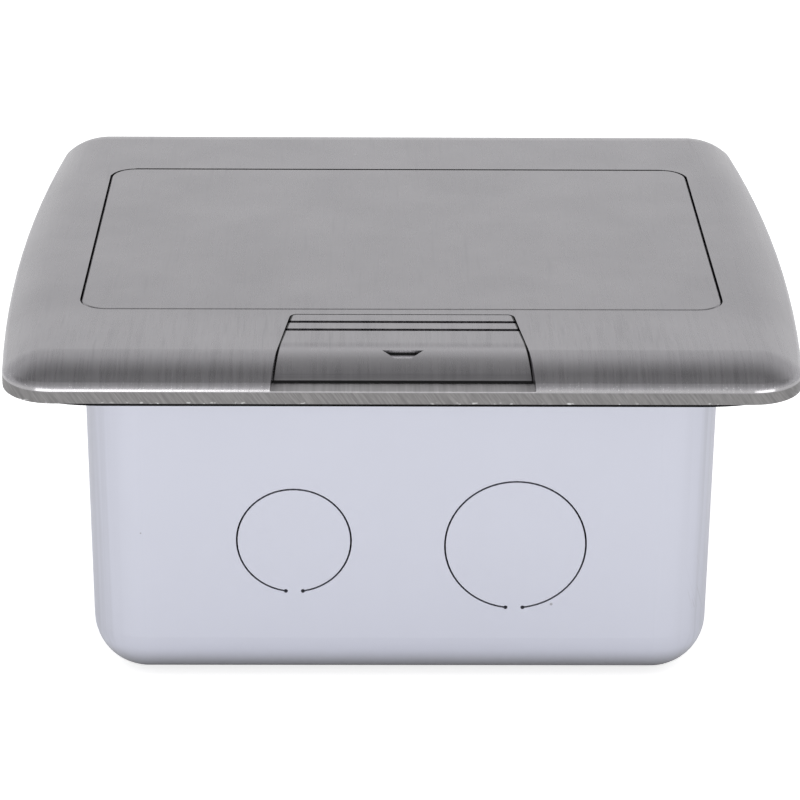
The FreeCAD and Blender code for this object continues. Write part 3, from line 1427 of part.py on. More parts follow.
def make_latch_keeper():
    """Steel catch in the carrier's recess, with the lip that the bolt's nose holds down."""
    body = new_body("latch_keeper")
    side_view = new_sketch(body, "KeeperSide", "YZ")
    lip_front = f"(pivot_back - sqrt(keeper_radius^2 - ({pivot_z} - {keeper_top})^2))"
    lip_low = f"({keeper_top} - keeper_lip)"
    leg_low = f"({lip_low} - keeper_leg)"
    outer = "(latch_recess - keeper_metal)"
    polygon(side_view, [
        (face_line(keeper_top, "latch_recess"), keeper_top), (face_line(leg_low, "latch_recess"), leg_low),
        (face_line(leg_low, outer), leg_low), (face_line(lip_low, outer), lip_low),
        (f"({lip_front} + keeper_metal)", lip_low), (lip_front, f"({keeper_top} - keeper_metal)"),
        (lip_front, keeper_top),
    ])
    pad(side_view, "keeper_width", both=True)
    holes = new_face_sketch(body, "KeeperScrewHoles", keeper_screw_along, outer)
    for side in SIDES:
        circle(holes, f"{side} * keeper_screw_across / 2", "0", "small_screw - 0.4")
    pocket(holes, "keeper_metal * 1.5")
    return body


def make_keeper_screws():
    screws = []
    y, z = face_point(keeper_screw_along, "(latch_recess - keeper_metal)")
    for side in SIDES:
        screw = pan_screw(
            f"KeeperScrew{len(screws) + 1}", "small_screw - 0.5", "small_head - 0.8", "small_head_high - 0.4",
            "keeper_metal + carrier_wall - 0.2",
        )
        screws.append(place(screw, f"{side} * keeper_screw_across / 2", y, z, "90 + face_tilt"))
    return group("keeper_screws", screws)


# ---------------------------------------------------------------------------
# Outlets
# ---------------------------------------------------------------------------
def outlet_place(item, side):
    """Set a piece drawn flat, with +Z out of the outlet, on the inclined face."""
    y, z = face_point("-outlet_drop")
    return place(item, f"{side} * outlet_spacing / 2", y, z, "90 + face_tilt")


def outlet_low():
    return "(carrier_wall + outlet_body_depth)"


def make_outlet(label, side):
    """Socket moulding: raised face with blade slots and an earth hole, contact wells behind."""
    body = new_body(label)
    block_plan = new_sketch(body, "OutletBlock", "XY", "-carrier_wall - 0.05")
    rectangle(block_plan, "-outlet_body_width / 2", "outlet_body_width / 2",
              "-outlet_body_high / 2", "outlet_body_high / 2")
    pad(block_plan, "outlet_body_depth", back=True)
    face = new_sketch(body, "OutletFace", "XY", "-carrier_wall - 0.05")
    rectangle(face, "-outlet_face_width / 2", "outlet_face_width / 2",
              "-outlet_face_high / 2", "outlet_face_high / 2")
    pad(face, "carrier_wall + 0.05 + outlet_proud")
    dress("Fillet", body, "outlet_face_round", lambda edge: (
        upright(edge) and close(edge.BoundBox.ZMax, "outlet_proud")
    ))
    dress("Fillet", body, "outlet_proud", lambda edge: close(edge.BoundBox.ZMin, "outlet_proud"))
    wells = new_sketch(body, "ContactWells", "XY", "outlet_proud - outlet_skin")
    for x in ("-blade_spacing / 2", "blade_spacing / 2"):
        rectangle(wells, f"{x} - blade_slot / 2 - contact_metal - 0.3", f"{x} + blade_slot / 2 + contact_metal + 0.3",
                  "blade_rise - contact_high / 2 - 0.3", "blade_rise + contact_high / 2 + 0.3")
    circle(wells, "0", "-earth_fall", "earth_hole + contact_metal * 2 + 0.6")
    pocket(wells, f"outlet_proud - outlet_skin + {outlet_low()} + 1")
    slots = new_sketch(body, "BladeSlots", "XY", "outlet_proud")
    for x, high in (("-blade_spacing / 2", "neutral_slot"), ("blade_spacing / 2", "line_slot")):
        rectangle(slots, f"{x} - blade_slot / 2", f"{x} + blade_slot / 2",
                  f"blade_rise - {high} / 2", f"blade_rise + {high} / 2")
    circle(slots, "0", "-earth_fall", "earth_hole")
    pocket(slots, "outlet_skin")
    holes = new_sketch(body, "OutletThreads", "XY", "-carrier_wall - 0.05")
    for end in SIDES:
        circle(holes, "0", f"{end} * outlet_screw_high", "small_screw + pin_slack")
    pocket(holes, "small_screw_length")
    return outlet_place(body, side)


def make_outlet_backs():
    """Rear mouldings that close the outlets and carry their contacts."""
    backs = []
    for side in SIDES:
        back = block(
            f"OutletBack{len(backs) + 1}Plate", "-outlet_body_width / 2", "outlet_body_width / 2",
            "-outlet_body_high / 2", "outlet_body_high / 2",
            f"-({outlet_low()} + 0.1 + outlet_back_depth)", f"-({outlet_low()} + 0.1)",
        )
        body = fuse(f"OutletBack{len(backs) + 1}", [back, block(
            f"OutletBack{len(backs) + 1}Rib", "-outlet_body_width / 4", "outlet_body_width / 4",
            "-outlet_body_high / 2", "-outlet_body_high / 4",
            f"-({outlet_low()} + 0.1 + outlet_back_depth * 1.5)", f"-({outlet_low()} + 0.1)",
        )])
        backs.append(outlet_place(body, side))
    return group("outlet_backs", backs)


def blade_contact(name, x):
    """A U-shaped spring clip that grips a plug's blade from both sides."""
    low, deep = f"-({outlet_low()})", "contact_deep"
    half = "(blade_slot / 2 + contact_metal)"
    high = ("blade_rise - contact_high / 2", "blade_rise + contact_high / 2")
    legs = [
        block(f"{name}Leg{i}", f"{x} + {near}", f"{x} + {far}", *high, low, f"{low} + {deep}")
        for i, (near, far) in enumerate(((f"-{half}", f"-{half} + contact_metal"),
                                         (f"{half} - contact_metal", half)), start=1)
    ]
    base = block(f"{name}Base", f"{x} - {half}", f"{x} + {half}", *high, low, f"{low} + contact_metal")
    return fuse(name, legs + [base])


def make_blade_contacts(label, x):
    contacts = []
    for side in SIDES:
        name = "".join(word.capitalize() for word in label.split("_")) + str(len(contacts) + 1)
        contacts.append(outlet_place(blade_contact(name, x), side))
    return group(label, contacts)


def make_ground_contacts():
    """Round sleeves for the plugs' earth pins."""
    sleeves = []
    for side in SIDES:
        name = f"GroundContact{len(sleeves) + 1}"
        low = f"-({outlet_low()})"
        sleeve = rod(name + "Sleeve", "earth_hole + contact_metal * 2", "contact_deep", "0", "-earth_fall", low)
        bore = rod(name + "Bore", "earth_hole", "contact_deep", "0", "-earth_fall", f"{low} + contact_metal")
        sleeves.append(outlet_place(cut(name, sleeve, bore), side))
    return group("ground_contacts", sleeves)


def make_outlet_screws():
    screws = []
    for side in SIDES:
        for end in SIDES:
            screw = sunk_screw(
                f"OutletScrew{len(screws) + 1}", "small_screw", "small_head", "carrier_wall + small_screw_length - 0.4"
            )
            y, z = face_point(f"-outlet_drop + {end} * outlet_screw_high")
            screws.append(place(screw, f"{side} * outlet_spacing / 2", y, z, "90 + face_tilt"))
    return group("outlet_screws", screws)


# ---------------------------------------------------------------------------
# Build, check and write
# ---------------------------------------------------------------------------
def main():
    parts = [
        make_back_box(), make_screw_lugs(), make_ground_screw(), make_gasket(), make_cover_frame(),
        make_lid_seal(), make_cover_screws(), make_hinge_pins(), make_torsion_springs(),
        make_latch_retainer(),
        make_retainer_screws(), make_latch_springs(), make_latch_slider(), make_latch_bolt(),
        make_latch_screws(), make_lid_plate(), make_lid_screws(), make_socket_carrier(),
        make_latch_keeper(), make_keeper_screws(), make_hinge_bushes(), make_wiring_cover(),
        make_wiring_screws(), make_cable_grommet(), make_outlet("outlet_left", "-1"),
        make_outlet("outlet_right", "1"), make_outlet_backs(),
        make_blade_contacts("line_contacts", "blade_spacing / 2"),
        make_blade_contacts("neutral_contacts", "-blade_spacing / 2"),
        make_ground_contacts(), make_outlet_screws(),
    ]
    doc.recompute()
    for item in doc.Objects:
        if "Invalid" in item.State or "Error" in item.State:
            raise ValueError(f"{item.Name} failed: {item.State}")
    os.makedirs("parts", exist_ok=True)
    for part in parts:
        shape = part.Shape
        if shape.isNull() or not shape.isValid():
            raise ValueError(f"{part.Label} has no valid shape")
        shape.exportStep(f"parts/{part.Label}.step")
        box = shape.BoundBox
        print(f"{part.Label:18s} {len(shape.Solids)} solids {shape.Volume:10.1f} mm3  "
              f"x {box.XMin:.2f}..{box.XMax:.2f}  y {box.YMin:.2f}..{box.YMax:.2f}  z {box.ZMin:.2f}..{box.ZMax:.2f}")


main()
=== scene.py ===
"""Floor socket box: drawn steel box, cast cover, sliding latch and a pop-up lid with two outlets.

Metres, +X right, +Y to the back, +Z up, origin at the middle of the box's underside.
"""
import math
import bmesh
import bpy
from mathutils import Matrix, Vector


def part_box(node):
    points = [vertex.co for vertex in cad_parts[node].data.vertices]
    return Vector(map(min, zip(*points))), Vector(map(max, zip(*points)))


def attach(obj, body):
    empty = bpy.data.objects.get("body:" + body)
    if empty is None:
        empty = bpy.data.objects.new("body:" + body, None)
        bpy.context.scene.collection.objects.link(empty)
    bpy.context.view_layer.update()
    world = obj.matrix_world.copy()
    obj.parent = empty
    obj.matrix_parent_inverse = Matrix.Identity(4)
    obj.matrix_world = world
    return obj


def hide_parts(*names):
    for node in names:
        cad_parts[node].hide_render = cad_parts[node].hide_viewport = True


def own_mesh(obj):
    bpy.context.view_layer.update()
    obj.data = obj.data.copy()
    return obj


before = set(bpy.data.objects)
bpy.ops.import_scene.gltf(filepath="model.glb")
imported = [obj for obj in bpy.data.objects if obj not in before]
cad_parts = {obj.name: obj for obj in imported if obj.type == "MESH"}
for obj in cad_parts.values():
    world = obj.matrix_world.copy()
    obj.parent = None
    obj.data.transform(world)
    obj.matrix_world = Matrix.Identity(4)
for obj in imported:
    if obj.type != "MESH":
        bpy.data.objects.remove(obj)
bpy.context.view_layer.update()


# --- Studio --------------------------------------------------------------------------------------
# The box stands on a sheet of pale paper with white all round, lit by two soft boxes in front and a
# weak lamp above. A grey ceiling hangs out of sight, which the rounded slopes of the metal mirror.

def add(tree, kind, inputs=(), **settings):
    """A shader node with its settings, its inputs given as numbers, colours or other sockets."""
    made = tree.nodes.new("ShaderNode" + kind)
    for name, value in settings.items():
        setattr(made, name, value)
    for socket, value in dict(inputs).items():
        if isinstance(value, bpy.types.NodeSocket):
            tree.links.new(value, made.inputs[socket])
        else:
            made.inputs[socket].default_value = value
    return made


def maths(tree, operation, first, second=0.0):
    """One operation on two numbers or sockets."""
    return add(tree, "Math", {0: first, 1: second}, operation=operation).outputs[0]


def times(tree, first, second):
    return maths(tree, "MULTIPLY", first, second)


def plus(tree, first, second):
    return maths(tree, "ADD", first, second)


def empty_tree(owner):
    """The node tree of a material or world, with nothing in it."""
    owner.use_nodes = True
    owner.node_tree.nodes.clear()
    return owner.node_tree


def seen_directly(tree):
    """1 for what the camera, a mirror or clear glass shows, 0 for the light that falls on things."""
    path = add(tree, "LightPath").outputs
    seen = maths(tree, "MAXIMUM", path["Is Camera Ray"], path["Is Glossy Ray"])
    return maths(tree, "MAXIMUM", seen, path["Is Transmission Ray"])


scene = bpy.context.scene
scene.view_settings.view_transform = "Standard"

room = bpy.data.worlds.new("white_room")
scene.world = room
tree = empty_tree(room)
seen = seen_directly(tree)
level = add(tree, "MapRange", {"Value": seen, "To Min": 0.72, "To Max": 1.0}).outputs[0]
backdrop = add(tree, "Background", {"Color": (1.0, 1.0, 1.0, 1.0), "Strength": level})
tree.links.new(backdrop.outputs[0], add(tree, "OutputWorld").inputs["Surface"])

paper = bpy.data.materials.new("pale_paper")
tree = empty_tree(paper)
sheet = add(tree, "BsdfPrincipled", {"Base Color": (0.86, 0.86, 0.87, 1.0), "Roughness": 0.95})
sheet.inputs["Specular IOR Level"].default_value = 0.0
mirrored = times(tree, seen_directly(tree), 0.32)
looked_at = times(tree, add(tree, "LightPath").outputs["Is Camera Ray"], 0.38)
glow = add(tree, "Emission", {"Strength": plus(tree, mirrored, looked_at)})
both = add(tree, "AddShader", {0: sheet.outputs[0], 1: glow.outputs[0]})
tree.links.new(both.outputs[0], add(tree, "OutputMaterial").inputs["Surface"])


def stage_sheet(name, across, deep, place, material):
    """A flat sheet of the studio, level at its place."""
    shape = bmesh.new()
    bmesh.ops.create_grid(shape, x_segments=1, y_segments=1, size=0.5)
    bmesh.ops.scale(shape, verts=shape.verts, vec=(across, deep, 1.0))
    bmesh.ops.translate(shape, verts=shape.verts, vec=place)
    mesh = bpy.data.meshes.new(name)
    shape.to_mesh(mesh)
    shape.free()
    made = bpy.data.objects.new(name, mesh)
    scene.collection.objects.link(made)
    made.data.materials.append(material)
    return made


stage_sheet("floor", 12.0, 12.0, (0.0, 0.0, -0.0002), paper)

dim = bpy.data.materials.new("grey_ceiling")
tree = empty_tree(dim)
along = add(tree, "SeparateXYZ", {0: add(tree, "TexCoord").outputs["Object"]}).outputs["Y"]
ceiling_high, ceiling_front, ceiling_back = 1.9, -2.2, 3.3
darkest, grey_behind, grey_in_front = 0.29, 0.87, 0.70
to_back = add(tree, "MapRange", {
    "Value": along, "From Min": -0.05, "From Max": 1.4,
    "To Min": darkest, "To Max": grey_behind}).outputs[0]
to_front = add(tree, "MapRange", {
    "Value": along, "From Min": -0.15, "From Max": -1.5,
    "To Min": darkest, "To Max": grey_in_front}).outputs[0]
glow = add(tree, "Emission", {"Strength": maths(tree, "MAXIMUM", to_back, to_front)})
tree.links.new(glow.outputs[0], add(tree, "OutputMaterial").inputs["Surface"])
ceiling = stage_sheet(
    "ceiling", 9.0, ceiling_back - ceiling_front,
    (0.0, (ceiling_front + ceiling_back) / 2, ceiling_high), dim,
)
for ray in ("camera", "diffuse", "transmission", "volume_scatter", "shadow"):
    setattr(ceiling, "visible_" + ray, False)


lamps_aim = Vector((0.0, 0.0, 0.05))


def lamp(name, place, size, energy, in_mirrors):
    """A rectangular lamp turned to the middle of the box."""
    light = bpy.data.lights.new(name, "AREA")
    light.shape = "RECTANGLE"
    light.size, light.size_y = size
    light.energy = energy
    made = bpy.data.objects.new(name, light)
    scene.collection.objects.link(made)
    made.location = place
    made.rotation_euler = (lamps_aim - Vector(place)).to_track_quat("-Z", "Y").to_euler()
    made.visible_glossy = in_mirrors


soft_box = (1.30, 0.70)
lamp("overhead", (-0.25, -0.10, 1.5), (1.6, 1.6), 3.5, in_mirrors=False)
lamp("soft_box_left", (-0.76, -1.95, 0.52), soft_box, 7.4, in_mirrors=True)
lamp("soft_box_right", (1.24, -1.85, 0.52), soft_box, 5.9, in_mirrors=True)

camera_place = (-0.00565, -0.54567, 0.28235)
camera_pitch, camera_yaw, camera_roll = (math.radians(angle) for angle in (24.12, 0.61, 0.37))
view = bpy.data.cameras.new("camera")
view.sensor_width = 36.0
view.lens = 129.52
view.clip_start = 0.01
camera = bpy.data.objects.new("camera", view)
scene.collection.objects.link(camera)
ahead = Vector((
    math.sin(camera_yaw) * math.cos(camera_pitch),
    math.cos(camera_yaw) * math.cos(camera_pitch),
    -math.sin(camera_pitch),
))
right = Vector((math.cos(camera_yaw), -math.sin(camera_yaw), 0.0))
up = right.cross(ahead)
turned_right = right * math.cos(camera_roll) + up * math.sin(camera_roll)
turned_up = up * math.cos(camera_roll) - right * math.sin(camera_roll)
camera.matrix_world = Matrix.Translation(camera_place) @ Matrix(
    (turned_right, turned_up, -ahead)).transposed().to_4x4()
scene.camera = camera


# --- Back box ------------------------------------------------------------------------------------
# Drawn from pale galvanised sheet, so its walls are smooth and its corners carry fine lines where
# the metal was stretched. Handling leaves a few hair scratches and dark specks on the zinc.

def minus(tree, first, second):
    return maths(tree, "SUBTRACT", first, second)


def new_group(name, inputs, outputs):
    """An effect with named inputs and outputs, and the nodes that carry them."""
    group = bpy.data.node_groups.new(name, "ShaderNodeTree")
    for label, kind, value in inputs:
        socket = group.interface.new_socket(label, in_out="INPUT", socket_type="NodeSocket" + kind)
        if kind == "Float":
            socket.default_value = value
    for label in outputs:
        group.interface.new_socket(label, in_out="OUTPUT", socket_type="NodeSocketFloat")
    return group, group.nodes.new("NodeGroupInput").outputs, group.nodes.new("NodeGroupOutput").inputs


def fill(tree, group, inputs):
    """An effect's group in a material, with its inputs."""
    return add(tree, "Group", inputs, node_tree=group)


def stretched(tree, place, scale):
    """Coordinates with another scale along each axis, which draws a noise out into lines."""
    return add(tree, "VectorMath", {0: place, 1: scale}, operation="MULTIPLY").outputs[0]


def noise(tree, place, scale, detail=2.0, roughness=0.5):
    """An uneven value between 0 and 1, about 0.5 in the middle."""
    made = add(tree, "TexNoise", {"Vector": place, "Scale": scale, "Detail": detail, "Roughness": roughness})
    return made.outputs[0]


def ramp(tree, value, low, high, out_low=0.0, out_high=1.0, smooth=True):
    """Runs from out_low where the value is low to out_high where it is high."""
    made = add(tree, "MapRange", {
        "Value": value, "From Min": low, "From Max": high, "To Min": out_low, "To Max": out_high,
    }, interpolation_type="SMOOTHSTEP" if smooth else "LINEAR")
    return made.outputs[0]


specks, given, out = new_group(
    "specks", [("Place", "Vector", None), ("Scale", "Float", 400.0), ("Share", "Float", 0.1),
               ("Size", "Float", 0.3)], ["Mask"])
cells = add(specks, "TexVoronoi", {"Vector": given["Place"], "Scale": given["Scale"]})
chance = add(specks, "SeparateColor", {0: cells.outputs["Color"]}).outputs[0]
picked = maths(specks, "LESS_THAN", chance, given["Share"])
size = times(specks, maths(specks, "DIVIDE", chance, given["Share"]), given["Size"])
near = maths(specks, "LESS_THAN", cells.outputs["Distance"], size)
specks.links.new(times(specks, picked, near), out["Mask"])

scratches, given, out = new_group(
    "hair_scratches", [("Place", "Vector", None), ("Turn", "Float", 0.5), ("Fine", "Float", 900.0),
                       ("Share", "Float", 0.2)], ["Mask"])
turned = add(scratches, "VectorRotate", {
    "Vector": given["Place"], "Angle": given["Turn"], "Axis": (0.0, 1.0, 0.0)}).outputs[0]
parts = add(scratches, "SeparateXYZ", {0: turned}).outputs
lines = add(scratches, "CombineXYZ", {
    "X": times(scratches, parts["X"], given["Fine"]),
    "Y": times(scratches, parts["Y"], 30.0),
    "Z": times(scratches, parts["Z"], 25.0)}).outputs[0]
line = maths(scratches, "ABSOLUTE", minus(scratches, noise(scratches, lines, 1.0, 1.0), 0.5))
thin = ramp(scratches, line, 0.0, 0.02, 1.0, 0.0)
patch = noise(scratches, given["Place"], 55.0, 1.0)
patchy = maths(scratches, "LESS_THAN", patch, plus(scratches, given["Share"], 0.36))
scratches.links.new(times(scratches, thin, patchy), out["Mask"])


def start_material(name):
    """A new material with its node tree and the object's own coordinates."""
    material = bpy.data.materials.new(name)
    tree = empty_tree(material)
    place = add(tree, "TexCoord").outputs["Object"]
    return material, tree, place


def mixed(tree, factor, first, second):
    """Two colours mixed: each is a colour or a socket."""
    made = add(tree, "Mix", data_type="RGBA")
    for socket, value in ((made.inputs[0], factor), (made.inputs[6], first), (made.inputs[7], second)):
        if isinstance(value, bpy.types.NodeSocket):
            tree.links.new(value, socket)
        elif isinstance(value, tuple):
            socket.default_value = value + (1.0,)
        else:
            socket.default_value = value
    return made.outputs[2]


def finish_material(tree, plain, height=None, depth=0.00002, strength=0.5, **linked):
    """The shader: plain numbers go on its sockets, the rest comes from the nodes given."""
    shader = add(tree, "BsdfPrincipled", plain)
    for socket, value in linked.items():
        tree.links.new(value, shader.inputs[socket.replace("_", " ")])
    if height is not None:
        bump = add(tree, "Bump", {"Strength": strength, "Distance": depth, "Height": height})
        tree.links.new(bump.outputs[0], shader.inputs["Normal"])
    tree.links.new(shader.outputs[0], add(tree, "OutputMaterial").inputs["Surface"])


def dress(material, *names):
    """Every material slot of these CAD nodes gets this finish."""
    for name in names:
        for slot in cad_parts[name].material_slots:
            slot.material = material


box_side, box_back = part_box("back_box")[1].xy
zinc_sheet = (0.592, 0.604, 0.680)
zinc_shade = (0.542, 0.553, 0.620)
material, tree, place = start_material("galvanised_sheet")
x, y, z = add(tree, "SeparateXYZ", {0: place}).outputs
cloud = noise(tree, place, 38.0, 3.0, 0.55)
rolled = noise(tree, stretched(tree, place, (900.0, 900.0, 18.0)), 1.0, 2.0)
from_middle = maths(tree, "ABSOLUTE", x)
corner_x = ramp(tree, from_middle, box_side - 0.0075, box_side - 0.0005)
corner_y = ramp(tree, maths(tree, "ABSOLUTE", y), box_back - 0.0110, box_back - 0.0015)
corner = times(tree, corner_x, corner_y)
foot = ramp(tree, z, 0.0, 0.0095, 1.0, 0.0)
drawn = ramp(tree, noise(tree, stretched(tree, place, (750.0, 750.0, 9.0)), 1.0, 3.0), 0.40, 0.66)
stretched_metal = maths(tree, "MAXIMUM", corner, times(tree, foot, 0.3))
stretch_marks = times(tree, drawn, stretched_metal)
scuffs = fill(tree, scratches, {"Place": place, "Turn": 0.25, "Fine": 1300.0, "Share": 0.02}).outputs[0]
dots = fill(tree, specks, {"Place": place, "Scale": 240.0, "Share": 0.010, "Size": 0.11}).outputs[0]
# Painted shade: the zinc darkens toward each side, where the walls turn away from the light.
painted_side_shade = ramp(tree, from_middle, box_side - 0.0045, box_side - 0.0002)
# Painted shade at the foot: below about 8 mm the zinc turns dark and less metallic, where the box meets the
# floor.
clear_of_painted_foot_shade = ramp(tree, z, 0.0008, 0.0082)
colour = mixed(tree, ramp(tree, cloud, 0.35, 0.65, 0.0, 0.16, smooth=False), zinc_sheet, zinc_shade)
colour = mixed(tree, times(tree, rolled, 0.05), colour, zinc_shade)
colour = mixed(tree, times(tree, stretch_marks, 0.24), colour, (0.26, 0.262, 0.27))
colour = mixed(tree, times(tree, scuffs, times(tree, corner, 0.5)), colour, (0.36, 0.36, 0.38))
colour = mixed(tree, times(tree, dots, 0.6), colour, (0.22, 0.21, 0.21))
colour = mixed(tree, times(tree, painted_side_shade, 0.24), colour, (0.33, 0.33, 0.345))
colour = mixed(tree, clear_of_painted_foot_shade, (0.14, 0.14, 0.15), colour)
finish_material(
    tree, {}, Base_Color=colour, Roughness=plus(tree, times(tree, cloud, 0.12), 0.36),
    Metallic=times(tree, clear_of_painted_foot_shade, 0.85), Specular_IOR_Level=times(tree, clear_of_painted_foot_shade, 0.5),
    height=plus(tree, times(tree, stretch_marks, 0.8), times(tree, cloud, 0.4)),
    depth=0.00004, strength=0.35,
)
dress(material, "back_box", "screw_lugs")


# --- Cover gasket and lid seal -------------------------------------------------------------------
# The gasket is a ring die-cut from soft black rubber sheet, with wide rounded corners, held under
# the cover all round. The strip under the lid's edge and the cable grommet are the same rubber.

def rubber(name, colour, grain):
    """Matt rubber with a fine grain and a little dust."""
    material, tree, place = start_material(name)
    fine = noise(tree, place, grain, 3.0, 0.6)
    dusty = ramp(tree, noise(tree, place, 90.0, 2.0), 0.50, 0.80)
    shade = mixed(tree, times(tree, dusty, 0.25), colour, tuple(part * 2.2 for part in colour))
    finish_material(
        tree, {"Specular IOR Level": 0.12}, Base_Color=shade,
        Roughness=ramp(tree, fine, 0.3, 0.7, 0.80, 0.95, smooth=False), height=fine, depth=0.00003,
    )
    return material


def finished_piece(name, shape, material, body, smooth_below=35.0):
    """Turns a bmesh into a piece that rides on a body, with smooth shading up to an angle."""
    mesh = bpy.data.meshes.new(name)
    shape.to_mesh(mesh)
    shape.free()
    made = bpy.data.objects.new(name, mesh)
    scene.collection.objects.link(made)
    mesh.materials.append(material)
    for face in mesh.polygons:
        face.use_smooth = True
    mesh.set_sharp_from_angle(angle=math.radians(smooth_below))
    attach(made, body)
    return made


soft_black = rubber("black_rubber", (0.006, 0.006, 0.0065), 2600.0)
dress(soft_black, "lid_seal", "cable_grommet")
ring_low, ring_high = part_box("cover_gasket")
ring_corner, ring_width, ring_edge = 0.0172, 0.0102, 0.0002
side_bow_radius = 0.600
ring = bmesh.new()
bmesh.ops.create_grid(ring, x_segments=1, y_segments=16, size=0.5)
bmesh.ops.scale(ring, verts=ring.verts, vec=(ring_high.x - ring_low.x, ring_high.y - ring_low.y, 1.0))
for point in ring.verts:
    bowed_in = side_bow_radius - math.sqrt(side_bow_radius ** 2 - point.co.y ** 2)
    point.co.x -= math.copysign(bowed_in, point.co.x)
bmesh.ops.dissolve_faces(ring, faces=ring.faces[:])
corners = [point for point in ring.verts if abs(point.co.y) > ring_high.y - 1e-5]
bmesh.ops.bevel(
    ring, geom=corners, offset=ring_corner, offset_type="OFFSET", segments=12, profile=0.5,
    affect="VERTICES", material=-1,
)
inside = ring.faces[:]
bmesh.ops.inset_region(ring, faces=inside, thickness=ring_width, use_boundary=True, use_even_offset=True)
bmesh.ops.delete(ring, geom=inside, context="FACES")
raised = bmesh.ops.extrude_face_region(ring, geom=ring.faces[:])["geom"]
bmesh.ops.translate(
    ring, verts=[item for item in raised if isinstance(item, bmesh.types.BMVert)],
    vec=(0.0, 0.0, ring_high.z - ring_low.z),
)
bmesh.ops.translate(ring, verts=ring.verts, vec=(0.0, 0.0, ring_low.z))
bmesh.ops.recalc_face_normals(ring, faces=ring.faces)
cut_edges = [
    edge for edge in ring.edges
    if edge.calc_face_angle() > math.radians(60.0) and abs(edge.verts[0].co.z - edge.verts[1].co.z) < 1e-6
]
bmesh.ops.bevel(
    ring, geom=cut_edges, offset=ring_edge, offset_type="OFFSET", segments=2, profile=0.5,
    affect="EDGES", material=-1, clamp_overlap=True,
)
gasket = finished_piece("die_cut_gasket", ring, soft_black, "base")
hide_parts("cover_gasket")


# --- Cover, lid and latch slider -----------------------------------------------------------------
# Cast and machined metal with a satin finish brushed from front to back. The upright rim is ground
# by hand with a coarser wheel, which leaves slanting marks and bright nicks along its lower edge.

brushing, given, out = new_group(
    "brushed_grain", [("Place", "Vector", None), ("Fine", "Float", 1500.0), ("Coarse", "Float", 420.0),
                      ("Run", "Float", 26.0)], ["Grain", "Streaks", "Cloud"])
parts = add(brushing, "SeparateXYZ", {0: given["Place"]}).outputs


def brush_lines(across, along, detail):
    """Lines that are fine across the box and long from front to back."""
    lines = add(brushing, "CombineXYZ", {
        "X": times(brushing, parts["X"], across),
        "Y": times(brushing, parts["Y"], along),
        "Z": times(brushing, parts["Z"], along)}).outputs[0]
    return noise(brushing, lines, 1.0, detail, 0.6)


fine_lines = brush_lines(given["Fine"], times(brushing, given["Run"], 2.2), 2.0)
wide_lines = brush_lines(given["Coarse"], given["Run"], 3.0)
all_lines = plus(brushing, times(brushing, fine_lines, 0.40), times(brushing, wide_lines, 0.60))
brushing.links.new(ramp(brushing, all_lines, 0.34, 0.66, smooth=False), out["Grain"])
brushing.links.new(ramp(brushing, wide_lines, 0.58, 0.76), out["Streaks"])
patches = noise(brushing, given["Place"], 52.0, 3.0, 0.62)
brushing.links.new(ramp(brushing, patches, 0.34, 0.66, smooth=False), out["Cloud"])

satin = (0.318, 0.310, 0.326)
satin_dark = (0.248, 0.242, 0.257)
satin_light = (0.415, 0.406, 0.425)
cover_low, cover_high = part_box("cover_frame")
slider_low, slider_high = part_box("latch_slider")
lid_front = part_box("lid_plate")[0].y
gasket_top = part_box("cover_gasket")[1].z
rim_top = gasket_top + 0.0024
cover_top = cover_high.z


def satin_brushing(tree, place):
    """The grain, streaks and clouds that these three pieces share."""
    return fill(tree, brushing, {"Place": place, "Fine": 2300.0, "Coarse": 900.0, "Run": 46.0}).outputs


def satin_metal(name, own_marks_and_painted_light=None):
    """Metal brushed from front to back, more strongly in front, with a piece's own marks and painted light
    on top.
    """
    material, tree, place = start_material(name)
    position = add(tree, "SeparateXYZ", {0: place}).outputs
    brushed = satin_brushing(tree, place)
    in_front = ramp(tree, position["Y"], cover_low.y + 0.020, cover_low.y + 0.032, 1.0, 0.0)
    light_lines = ramp(tree, in_front, 0.0, 1.0, 0.34, 0.62, smooth=False)
    dark_lines = ramp(tree, in_front, 0.0, 1.0, 0.25, 0.55, smooth=False)
    dots = fill(tree, specks, {"Place": place, "Scale": 420.0, "Share": 0.03, "Size": 0.22}).outputs[0]
    colour = mixed(tree, times(tree, brushed["Cloud"], 0.52), satin, satin_dark)
    colour = mixed(tree, times(tree, brushed["Grain"], light_lines), colour, satin_light)
    colour = mixed(tree, times(tree, brushed["Streaks"], dark_lines), colour, satin_dark)
    colour = mixed(tree, times(tree, dots, 0.35), colour, satin_light)
    rough = ramp(tree, brushed["Grain"], 0.0, 1.0, 0.24, 0.33, smooth=False)
    height = plus(tree, brushed["Grain"], times(tree, dots, -0.5))
    if own_marks_and_painted_light:
        colour, rough, height = own_marks_and_painted_light(tree, place, colour, rough, height)
    finish_material(
        tree, {"Metallic": 1.0}, Base_Color=colour, Roughness=rough,
        height=height, depth=0.00001, strength=0.30,
    )
    return material


